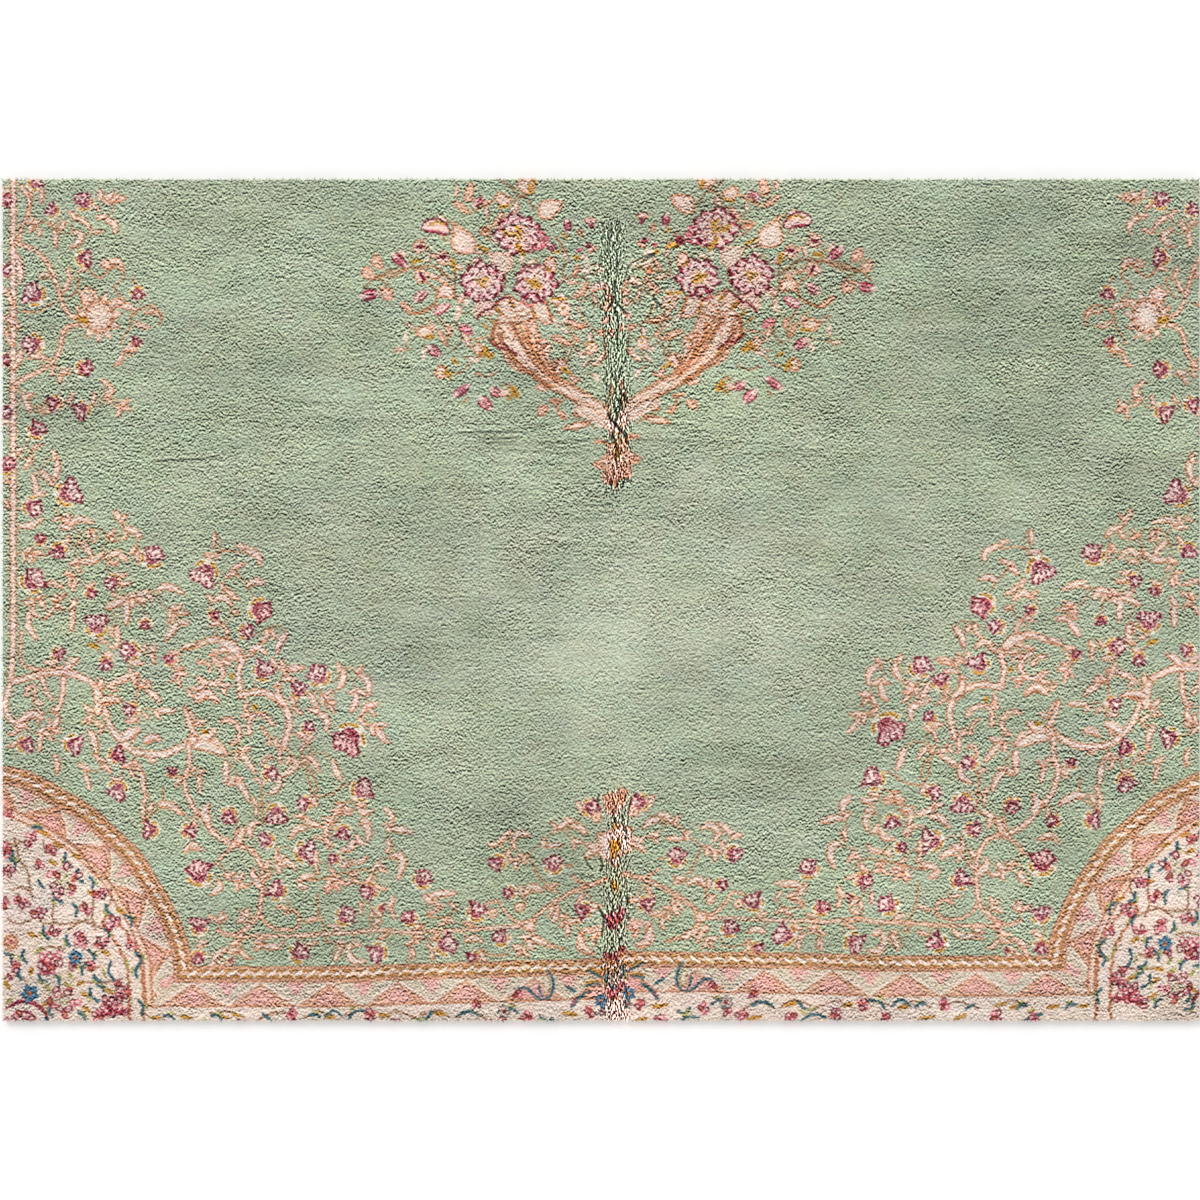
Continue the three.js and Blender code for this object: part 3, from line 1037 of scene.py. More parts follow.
# Buds and blades of the bouquet and the middle.
BOUQUET_BLADES: tuple[Stroke, ...] = (
    *strokes(
        Yarn.WINE, Yarn.ROSE, (8.5, (188, 640), (177, 630)), (9.0, (214, 605), (201, 608)),
        (6.5, (43, 669), (41, 659)), (6.5, (58, 649), (52, 643)),
    ),
    *strokes(
        Yarn.WINE, Yarn.ROSY, (8.5, (158, 563), (148, 555)), (7.5, (137, 522), (124, 531)),
        (9.5, (115, 520), (106, 511)), (8.0, (106, 527), (98, 522)),
    ),
    *strokes(Yarn.WINE, Yarn.BLUSH, (8.5, (169, 602), (159, 609))),
    *strokes(Yarn.ROSE, Yarn.PINK, (7.0, (131, 580), (122, 574))),
    *strokes(Yarn.ROSE, Yarn.BLUSH, (7.0, (153, 591), (140, 598))),
    *strokes(Yarn.WINE, Yarn.PINK, (7.0, (120, 681), (112, 687))),
    *strokes(Yarn.SALMON, Yarn.BLUSH, (5.5, (28, 668), (18, 668))),
    *strokes(Yarn.WINE, Yarn.ROSY, (4.5, (24, 667), (21, 661))),
    *strokes(Yarn.RUST, Yarn.PEACH, (4.5, (33, 661), (30, 654))),
    *strokes(Yarn.WINE, Yarn.ROSE, (4.0, (28, 648), (21, 646))),
    *strokes(Yarn.ROSE, Yarn.ROSY, (4.0, (35, 643), (30, 644))),
    *strokes(Yarn.SALMON, Yarn.BLUSH, (4.5, (25, 642), (18, 646))),
    *strokes(Yarn.RUST, Yarn.PEACH, (5.0, (32, 632), (38, 622)), (6.0, (37, 604), (30, 609), (25, 617))),
    *strokes(Yarn.RUST, Yarn.CREAM, (6.0, (23, 610), (14, 614), (7, 611))),
    *strokes(Yarn.SALMON, Yarn.PEACH, (5.5, (41, 585), (35, 581), (28, 581))),
    *strokes(
        Yarn.RUST, Yarn.PEACH, (6.0, (56, 571), (46, 568), (37, 564)), (5.0, (12, 189), (9, 181), (4, 177)),
        (4.0, (6, 190), (4, 182)),
    ),
    *strokes(Yarn.SALMON, Yarn.PEACH, (4.5, (38, 572), (32, 566))),
    *strokes(Yarn.SALMON, Yarn.CREAM, (6.0, (21, 547), (15, 552), (11, 558))),
    *strokes(Yarn.SALMON, Yarn.BLUSH, (5.0, (13, 583), (6, 588)), (5.0, (40, 540), (36, 535), (31, 537))),
    *strokes(
        Yarn.SALMON, Yarn.PEACH, (4.5, (16, 577), (12, 572)), (4.5, (7, 578), (4, 571)),
        (4.0, (57, 518), (46, 517)), (5.0, (50, 509), (43, 503)), (6.0, (137, 684), (130, 679), (123, 674)),
        (6.0, (104, 663), (99, 670), (95, 675)), (5.0, (114, 681), (105, 684)),
        (5.5, (181, 599), (175, 594), (169, 590)),
    ),
    *strokes(
        Yarn.SALMON, Yarn.CREAM, (5.0, (69, 530), (60, 527)), (6.0, (98, 523), (91, 526)),
        (6.0, (88, 675), (83, 683)),
    ),
    *strokes(Yarn.PEACH, Yarn.CREAM, (5.0, (136, 586), (132, 592))),
    *strokes(
        Yarn.SALMON, Yarn.PEACH, (5.0, (142, 581), (140, 572)), (5.0, (150, 577), (144, 565)),
        (3.6, (20, 483), (13, 484), (7, 480)),
    ),
    *strokes(
        Yarn.SALMON, Yarn.CREAM, (5.0, (128, 573), (124, 562)), (6.0, (28, 148), (20, 146), (13, 151)),
        (6.0, (28, 136), (22, 141), (15, 144)), (5.0, (17, 157), (12, 151), (9, 145)),
        (6.5, (33, 73), (29, 62), (20, 56)),
    ),
    *strokes(Yarn.SALMON, Yarn.BLUSH, (6.0, (133, 600), (128, 607))),
    *strokes(Yarn.PEACH, Yarn.PEACH, (6.0, (25, 74), (15, 79))),
)

# Last strokes of the bouquet and the field, over everything else.
MARKS: tuple[Stroke, ...] = (
    *strokes(
        Yarn.RUST, None, (2.8, (98, 573), (93, 562), (85, 551), (77, 545), (67, 538), (57, 530)),
        (2.2, (103, 579), (104, 571), (100, 562)),
    ),
    *strokes(Yarn.SALMON, None, (3.4, (76, 578), (73, 565), (67, 553), (60, 544), (52, 536))),
    *strokes(Yarn.CREAM, None, (1.4, (97, 583), (91, 573), (84, 560))),
    *strokes(
        Yarn.BROWN, None, (1.5, (90, 584), (84, 573), (79, 562)),
        (1.3, (101, 575), (97, 564), (91, 554), (84, 546), (74, 540), (63, 532), (52, 525), (40, 519),
         (30, 513)),
    ),
    *strokes(Yarn.OCHRE, None, (1.3, (96, 574), (92, 563), (85, 553), (76, 546), (64, 537), (54, 529))),
    *strokes(Yarn.CREAM, None, (1.6, (98, 580), (95, 570), (90, 560))),
    *strokes(Yarn.OCHRE, None, (1.4, (82, 581), (78, 571), (72, 560), (64, 550))),
    *strokes(
        Yarn.CREAM, None, (1.7, (88, 576), (83, 562), (78, 553)), (1.4, (73, 546), (64, 537), (55, 532)),
        (1.8, (46, 527), (35, 522), (24, 517)),
    ),
    *strokes(
        Yarn.RUST, None, (1.0, (50, 532), (40, 527), (28, 523)),
        (1.1, (86, 580), (80, 567), (75, 556), (68, 547), (60, 539), (50, 532)),
        (1.1, (80, 572), (75, 559), (68, 548), (61, 540), (52, 533)),
    ),
    *strokes(Yarn.SALMON, None, (1.2, (66, 570), (62, 556), (56, 545), (47, 537), (36, 530), (24, 523))),
    *strokes(Yarn.CREAM, None, (1.6, (93, 572), (89, 561), (82, 552), (74, 544))),
    *strokes(Yarn.RUST, None, (1.2, (69, 571), (66, 557), (61, 546))),
    *strokes(
        Yarn.WINE, None, (2.0, (108, 569), (103, 564), (96, 561)), (1.6, (95, 566), (91, 561), (85, 556)),
    ),
    *strokes(
        Yarn.BROWN, None,
        (1.5, (105, 566), (105, 575), (102, 581), (94, 583), (86, 581), (78, 584), (71, 587)),
        (1.3, (100, 580), (96, 576), (97, 571), (91, 570)),
    ),
    *strokes(Yarn.RUST, None, (1.3, (92, 578), (86, 575), (87, 569))),
    *strokes(
        Yarn.SALMON, None, (1.3, (97, 590), (90, 587), (83, 589)), (1.3, (93, 595), (86, 592), (78, 594)),
    ),
    *strokes(
        Yarn.RUST, None, (1.2, (87, 586), (79, 588), (73, 592)), (1.8, (60, 600), (57, 592), (55, 584)),
        (2.6, (60, 565), (64, 562)),
    ),
    *strokes(
        Yarn.WINE, None, (1.7, (118, 586), (113, 592), (108, 595)),
        (1.7, (106, 594), (101, 600), (95, 604), (90, 603)),
    ),
    *strokes(Yarn.ROSE, None, (1.6, (76, 606), (79, 600), (73, 597))),
    *strokes(
        Yarn.WINE, None, (1.8, (68, 607), (65, 601), (62, 600)), (1.5, (68, 607), (74, 608), (79, 604)),
    ),
    *strokes(
        Yarn.OCHRE, None, (2.8, (102, 595), (97, 591)), (2.8, (91, 601), (86, 596)),
        (2.2, (108, 587), (104, 583)), (2.2, (113, 582), (109, 578)), (2.2, (72, 594), (70, 588)),
    ),
    *strokes(
        Yarn.GOLD, None, (3.0, (96, 660), (90, 655)), (3.0, (86, 664), (82, 661)),
        (4.0, (84, 648), (79, 640)), (3.0, (76, 618), (71, 616), (66, 612)), (2.6, (99, 679), (91, 681)),
        (3.4, (74, 698), (72, 691)), (2.4, (71, 702), (69, 699)), (3.4, (171, 634), (165, 635)),
        (3.4, (138, 635), (136, 627)), (2.6, (116, 647), (108, 643)), (2.6, (55, 603), (43, 604)),
        (3.4, (36, 638), (34, 637)), (2.2, (46, 657), (42, 654)),
    ),
    *strokes(Yarn.OCHRE, None, (3.0, (60, 629), (57, 626)), (4.5, (114, 557), (105, 556))),
    *strokes(Yarn.CREAM, None, (2.0, (50, 606), (44, 605))),
    *strokes(
        Yarn.GOLD, None, (2.2, (53, 642), (49, 642)), (3.2, (160, 571), (154, 571)),
        (3.4, (111, 562), (107, 553)), (3.0, (138, 552), (134, 549)), (2.6, (146, 541), (138, 541)),
        (2.4, (144, 546), (140, 536)), (4.5, (88, 528), (84, 522)), (3.0, (46, 545), (40, 541)),
        (2.6, (1, 482), (-4, 479), (-6, 474), (-3, 469), (1, 472), (1, 478)), (5.0, (4, 150), (4, 138)),
        (3.4, (4, 116), (1, 109)), (4.0, (323, 288.5), (323, 287.5)), (4.0, (303, 262.5), (303, 261.5)),
        (3.5, (441, 314), (435, 312)), (4.0, (346, 242), (343, 241)), (5.0, (449, 586), (444, 584)),
    ),
    *strokes(
        Yarn.OCHRE, None, (2.4, (92, 519), (84, 526)), (1.8, (28, 565), (20, 567)),
        (2.0, (3, 165), (3, 160)),
    ),
    *strokes(Yarn.BROWN, None, (2.4, (50, 550), (54, 544)), (1.5, (3, 474), (1, 464), (-3, 456))),
    *strokes(
        Yarn.WINE, None, (2.6, (168, 646), (164, 646)), (2.8, (148, 638), (144, 638)),
        (2.6, (165, 624), (162, 619)),
    ),
    *strokes(
        Yarn.RUST, None, (2.4, (112, 660), (108, 660)), (1.3, (7, 471), (4, 461), (5, 455)),
        (1.3, (10, 466), (18, 464)), (1.4, (9, 459), (8, 451)), (1.6, (4, 452), (0, 445)),
    ),
    *strokes(
        Yarn.CREAM, None, (1.5, (12, 468), (8, 465)), (1.8, (5, 467), (2, 460)),
        (1.5, (50, 530), (34, 525), (16, 514), (6, 505)), (1.3, (38, 512), (26, 504), (14, 497)),
    ),
    *strokes(Yarn.SALMON, None, (1.1, (40, 520), (30, 516), (18, 509), (8, 502))),
    *strokes(Yarn.RUST, None, (1.1, (38, 507), (28, 500), (17, 495))),
    *strokes(Yarn.CREAM, None, (1.3, (40, 497), (30, 497))),
)

# Blossoms and blades that only the right half has, with u as if mirrored.
RIGHT_BLADES: tuple[Stroke, ...] = (
    *strokes(Yarn.WINE, Yarn.ROSE, (5.5, (56, 650), (51, 646))),
    *strokes(Yarn.GOLD, Yarn.GOLD, (3.2, (50, 645), (42, 640))),
    *strokes(Yarn.PEACH, Yarn.SALMON, (8.5, (31, 624), (26, 620))),
)


# Clumps of the pendant below the horns: u, v and width.
PENDANT_POSIES: tuple[tuple[float, float, float], ...] = ((3, 84, 14), (5, 81, 8), (4, 53, 12))

# Beds of small leaves in the bouquet: the least and greatest (u, v), and how many places are tried.
SPRIG_BEDS: tuple[tuple[Point, Point, int], ...] = (
    ((17.0, 538.0), (76.0, 650.0), 90), ((76.0, 640.0), (150.0, 700.0), 40),
    ((118.0, 552.0), (182.0, 655.0), 70),
)


@dataclass(frozen=True)
class Field:
    """Everything that grows on the rug's green ground.

    Attributes:
        vine_share: How much of a vine's whole width is drawn.
        widest_vine: Greatest width that is drawn.
        tendril_width: Width of a tendril.
        stalk_width: Width of a leaf's or bud's stalk.
        stalk_reach: Greatest length of a stalk.
        bouquet_reach: How far from the middle line the bouquet's own ground goes.
        bouquet_foot: Where that ground begins above the front edge.
        sprig_seed: Picks the places of the bouquet's small leaves.
        shoots: Foot and tip of each small leaf that a stalk may carry.
    """

    vine_share: float = 0.92
    widest_vine: float = 6.2
    tendril_width: float = 1.9
    stalk_width: float = 1.4
    stalk_reach: float = 34.0
    bouquet_reach: float = 224.0
    bouquet_foot: float = 480.0
    sprig_seed: int = 12
    shoots: list[tuple[np.ndarray, np.ndarray]] = field(default_factory=list)

    def draw(self, cartoon: Cartoon) -> None:
        """Draws the field's vines, leaves and flowers.

        Args:
            cartoon: The drawing that they go on.
        """
        self.draw_stalks(cartoon)
        for path in TENDRILS:
            Stem(path, self.tendril_width, core=None, taper=0.8, strength=0.85).draw(cartoon)
        for path, width in VINES:
            drawn = min(self.vine_share * width, self.widest_vine)
            Stem(path, drawn, line=1.0 if width < 4 else 1.25).draw(cartoon)
        for index, path in enumerate(LEAVES):
            Leaf(path, rim=Yarn.RUST if index % 3 == 0 else Yarn.SALMON).draw(cartoon)
        for path, width in BROAD_LEAVES:
            Leaf(path, width, line=1.25).draw(cartoon)
        for u, v, size, towards in ROSEBUDS:
            Rosebud(u, v, size, towards).draw(cartoon)
        self.fill(cartoon)

    def draw_stalks(self, cartoon: Cartoon) -> None:
        """Joins every leaf and bud to the nearest vine, or to a neighbour that already hangs on one.

        Args:
            cartoon: The drawing that they go on.
        """
        joined = np.vstack([rounded(path) for path in (*TENDRILS, *(path for path, _ in VINES))])
        roots = [path[0] for path in LEAVES]
        for u, v, size, towards in ROSEBUDS:
            turn = math.radians(towards)
            roots.append((u + 0.5 * size * math.cos(turn), v - 0.5 * size * math.sin(turn)))
        waiting = np.array(roots, dtype=float)
        gap = np.hypot(waiting[:, None, 0] - joined[None, :, 0], waiting[:, None, 1] - joined[None, :, 1])
        nearest, target = gap.min(1), joined[gap.argmin(1)]
        while np.isfinite(nearest).any():
            index = int(nearest.argmin())
            start, end, length = waiting[index], target[index].copy(), float(nearest[index])
            nearest[index] = np.inf
            closer = np.hypot(*(waiting - start).T)
            better = (closer < nearest) & np.isfinite(nearest)
            nearest[better], target[better] = closer[better], start
            if 2.5 < length < self.stalk_reach:
                self.draw_stalk(cartoon, start, end, length, index)
            along = (end - start) / max(length, 1.0)
            aside = np.array([along[1], -along[0]])
            for share in (0.2, 0.8):
                foot = start + share * (end - start)
                for way in (1.0, -1.0):
                    self.shoots.append((foot, foot + (0.85 * aside * way - 0.5 * along) * (8.0 + index % 4)))

    def draw_stalk(self, cartoon: Cartoon, start: np.ndarray, end: np.ndarray, length: float,
                   index: int) -> None:
        """Draws one stalk.

        Args:
            cartoon: The drawing that it goes on.
            start: Where the stalk carries its leaf or bud.
            end: Where it leaves the vine.
            length: Distance between the two.
            index: The stalk's number, which varies its bend.
        """
        side = 1.0 if index % 2 else -1.0
        aside = np.array([start[1] - end[1], end[0] - start[0]]) * side / length
        middle = 0.5 * (start + end) + aside * (0.16 * length + 0.8)
        yarn = Yarn.RUST if index % 3 == 0 else Yarn.SALMON
        Stem(as_path(end, middle, start), self.stalk_width, yarn, None, strength=0.6).draw(cartoon)

    def fill(self, cartoon: Cartoon) -> None:
        """Adds a small leaf wherever a stalk has a bare place beside it.

        Args:
            cartoon: The drawing that they go on.
        """
        for index, (foot, tip) in enumerate(self.shoots):
            places = np.linspace(foot + 0.3 * (tip - foot), tip + 0.25 * (tip - foot), 4)
            colours = cartoon.sample(places[:, 0], places[:, 1])
            crowded = foot[0] < self.bouquet_reach and foot[1] > self.bouquet_foot
            if not crowded and np.abs(colours - Yarn.GREEN.rgb).max() < 0.04:
                bend = 0.12 * np.array([foot[1] - tip[1], tip[0] - foot[0]]) * (1 if index % 2 else -1)
                middle = 0.5 * (foot + tip) + bend
                Leaf(as_path(foot, middle, tip), 4.4 + 0.6 * (index % 3)).draw(cartoon)

    def draw_bouquet(self, cartoon: Cartoon) -> None:
        """Draws the horns, the roses in them and the pendant below.

        Args:
            cartoon: The drawing that they go on.
        """
        for path, width, yarn, _ in BOUQUET_STEMS:
            Stem(path, width, yarn, None, strength=0.85).draw(cartoon)
        for petal in PETALS:
            petal.draw(cartoon)
        for path, width, rim, core in BOUQUET_BLADES:
            Leaf(path, width, rim, core, 1.2).draw(cartoon)
            if rim is Yarn.WINE:
                start, end = np.array(path[0]), np.array(path[-1])
                Stem(path, 0.45 * width, Yarn.BLUSH, None, taper=0.6).draw(cartoon)
                vein = as_path(start + 0.3 * (end - start), start + 0.75 * (end - start))
                Stem(vein, 1.3, Yarn.WINE, None, strength=0.8).draw(cartoon)
        self.scatter_sprigs(cartoon)
        for u, v, radius, kind in FIELD_FLOWERS:
            if kind in (Flower.ROSE, Flower.BLUSH):
                edge = Yarn.WINE if kind is Flower.ROSE else Yarn.ROSE
                RoseHead(u, v, radius, edge=edge).draw(cartoon)
            else:
                replace(FLOWERS[kind], u=u, v=v, radius=radius).draw(cartoon)
        self.draw_side_palmette(cartoon)
        for place in PENDANT_POSIES:
            Posy(*place).draw(cartoon)
        self.draw_side_bud(cartoon)
        for path, width, yarn, _ in MARKS:
            Stem(path, width, yarn, None).draw(cartoon)

    def draw_side_bud(self, cartoon: Cartoon) -> None:
        """Draws the broad bud at the bouquet's side.

        Args:
            cartoon: The drawing that it goes on.
        """
        Leaf(((163, 662), (152, 664), (141, 658)), 13.0, Yarn.WINE, Yarn.BLUSH, 1.7).draw(cartoon)
        Stem(((157, 665), (151, 667), (145, 665)), 2.0, Yarn.GOLD, None).draw(cartoon)
        Stem(((157, 659), (149, 659)), 1.3, Yarn.ROSE, None).draw(cartoon)

    def scatter_sprigs(self, cartoon: Cartoon) -> None:
        """Fills bare green between the bouquet's flowers with small leaves on bent stalks.

        Args:
            cartoon: The drawing that they go on.
        """
        chance = np.random.default_rng(self.sprig_seed)
        for low, high, tries in SPRIG_BEDS:
            for spot in chance.uniform(low, high, (tries, 2)):
                turn = chance.uniform(0.0, 2.0 * math.pi)
                ahead = np.array([math.cos(turn), math.sin(turn)])
                aside = np.array([-ahead[1], ahead[0]])
                tip = spot + chance.uniform(6.0, 9.5) * ahead
                foot = spot - 4.5 * ahead + 1.5 * aside
                places = np.linspace(foot, tip, 5)
                colours = cartoon.sample(places[:, 0], places[:, 1])
                if np.abs(colours - Yarn.GREEN.rgb).max() > 0.05:
                    continue
                middle = 0.5 * (spot + tip) + chance.uniform(-1.2, 1.2) * aside
                rim = (Yarn.SALMON, Yarn.BROWN, Yarn.PEACH)[int(chance.integers(3))]
                Stem(as_path(foot, spot), 1.4, Yarn.RUST, None, strength=0.7).draw(cartoon)
                width = chance.uniform(3.5, 4.7)
                Leaf(as_path(spot, middle, tip), width, rim, Yarn.CREAM, 0.8).draw(cartoon)

    def draw_side_palmette(self, cartoon: Cartoon) -> None:
        """Draws the jagged leaf flower near the side edge.

        Args:
            cartoon: The drawing that it goes on.
        """
        Bloom(433, 588, 19, petals=11, scallop=0.34, vein=Yarn.RUST, ring=0.6, flat=1.15).draw(cartoon)
        Bloom(443, 606, 8, scallop=0.3, vein=Yarn.SALMON).draw(cartoon)


class BandPlace(NamedTuple):
    """Where the cells of a window lie in the border's bands.

    Attributes:
        window: The part of the drawing that holds the bands.
        depth: Depth into the border.
        run: Distance along the border.
        arched: 1 along the corner's arch, and 0 elsewhere.
    """

    window: Window
    depth: np.ndarray
    run: np.ndarray
    arched: np.ndarray


# Depths into the border: where the guard band ends, and where the ivory begins.
GUARD_END = 13.6
IVORY_START = 35.0


@dataclass(frozen=True)
class GuardBand:
    """The band of gold and white rope round the field. Along the corner's arch its lines are finer.

    Attributes:
        edging: Width of the dark line along both sides.
        rope_depth: Depth of the rope's middle.
        gold_gap: Distance of the gold lines from there.
        gold_pitch: Distance between two thin places of a gold line.
        dash_pitch: Distance between two white dashes.
        dash_slope: How far a dash climbs for its length.
        dash_reach: Half the length of a dash.
        dash_turn: Turns the height over a dash's line into the distance from it.
        stitch_pitch: Distance between two stitches of the ground.
        inner_line: Depth of the thin brown line.
    """

    edging: float = 1.1
    rope_depth: float = 6.3
    gold_gap: float = 2.6
    gold_pitch: float = 7.4
    dash_pitch: float = 11.0
    dash_slope: float = 0.62
    dash_reach: float = 3.9
    dash_turn: float = 0.85
    stitch_pitch: float = 4.6
    inner_line: float = 10.6

    def draw(self, cartoon: Cartoon, place: BandPlace) -> None:
        """Draws the band.

        Args:
            cartoon: The drawing.
            place: Where its cells lie in the bands.
        """
        window, depth, run, arched = place
        inside = np.minimum(depth, GUARD_END - depth)
        cartoon.lay(window, inside, Yarn.RUST, 0.9)
        cartoon.lay(window, inside - self.edging, Yarn.PEACH)
        cartoon.lay(window, inside - self.edging, Yarn.SALMON, 0.15)
        stitch = np.sin(2 * np.pi * (run + 1.3 * depth) / self.stitch_pitch)
        cartoon.lay(window, np.minimum(inside - 0.8, (stitch - 0.45) * 2.0), Yarn.SALMON, 0.5)
        over = depth - self.rope_depth
        rope = np.abs(over)
        cartoon.lay(window, 1.3 - 0.8 * arched - rope, Yarn.CREAM, 0.4)
        thin = np.sin(2 * np.pi * (run + 2.0 * np.sign(over)) / self.gold_pitch) + 1.25 - 0.45 * arched
        cartoon.lay(window, np.minimum(0.95 - np.abs(rope - self.gold_gap), 2.0 * thin), Yarn.OCHRE)
        cartoon.lay(window, 0.55 - np.abs(depth - self.inner_line), Yarn.BROWN, 0.7)
        along = ((run / self.dash_pitch + 0.2) % 1.0 - 0.5) * self.dash_pitch
        aside = (over - (self.dash_slope - 0.1 * arched) * along) * self.dash_turn
        dash = np.minimum(1.0 - 0.1 * arched - np.abs(aside), self.dash_reach - 0.7 * arched - np.abs(along))
        shadow = np.minimum(0.8 - 0.2 * arched - np.abs(aside + 1.7), 3.2 - np.abs(along))
        cartoon.lay(window, shadow, Yarn.BROWN, 0.7)
        cartoon.lay(window, dash, Yarn.CHALK)


@dataclass(frozen=True)
class TriangleRow:
    """The row of interlocking triangles. Along the corner's arch their outlines are broader.

    Attributes:
        pitch: Distance between two triangles.
        tip: Place of one triangle's tip along the border.
        turn: Turns the height over a triangle's side into the distance from it.
        hatch_pitch: Distance between two lines of the hatching.
    """

    pitch: float = 57.0
    tip: float = 355.0
    turn: float = 0.85
    hatch_pitch: float = 2.9

    def draw(self, cartoon: Cartoon, place: BandPlace) -> None:
        """Draws the row.

        Args:
            cartoon: The drawing.
            place: Where its cells lie in the bands.
        """
        window, depth, run, arched = place
        half = self.pitch / 2
        aside = np.abs((run - self.tip + half) % self.pitch - half)
        edge = GUARD_END + 1.0 + aside * (IVORY_START - GUARD_END - 1.5) * 2.0 / self.pitch
        up = (depth - edge) * self.turn + 1.8 * arched
        band = depth - GUARD_END
        cartoon.lay(window, band, Yarn.CREAM)
        ground = np.minimum(band - 0.6, -2.1 - up)
        cartoon.lay(window, ground, Yarn.MIST, 0.9)
        flecks = np.sin(1.1 * window.u + 0.6 * window.v) * np.sin(0.9 * window.v - 0.5 * window.u)
        cartoon.lay(window, np.minimum(ground, (flecks - 0.3) * 2.0), Yarn.PEACH, 0.6)
        cartoon.lay(window, np.minimum(ground, (-flecks - 0.3) * 2.0), Yarn.GREEN, 0.55)
        middle = half - aside
        foot = np.minimum(7.5 - middle, 2.6 - np.abs(band - 2.4))
        trefoil = np.maximum(foot, np.minimum(3.0 - middle * 0.9, 10.5 - band))
        cartoon.lay(window, np.minimum(trefoil, ground + 1.0), Yarn.PINK, 0.62)
        body = np.minimum(band, up)
        cartoon.lay(window, body, Yarn.RUST, 0.8)
        cartoon.lay(window, body - 0.9, Yarn.PEACH)
        hatch = np.abs(((up + 0.2 * aside) / self.hatch_pitch) % 1.0 - 0.5) * self.hatch_pitch
        cartoon.lay(window, np.minimum(body - 0.8, 0.6 - hatch), Yarn.RUST, 0.65)
        outline = np.minimum(np.minimum(body - 0.8, 0.8 - hatch), 6.0 * arched - 0.5 - up)
        cartoon.lay(window, outline, Yarn.RUST, 0.5)
        blob = np.minimum(up - 3.4 - 2.0 * arched, IVORY_START - 3.0 - depth)
        cartoon.lay(window, np.minimum(blob, 11.0 - aside), Yarn.PINK, 0.52)
        specks = np.minimum(np.minimum(blob - 1.0, 9.0 - aside), (flecks - 0.35) * 2.0)
        cartoon.lay(window, specks, Yarn.BLUSH, 0.8)


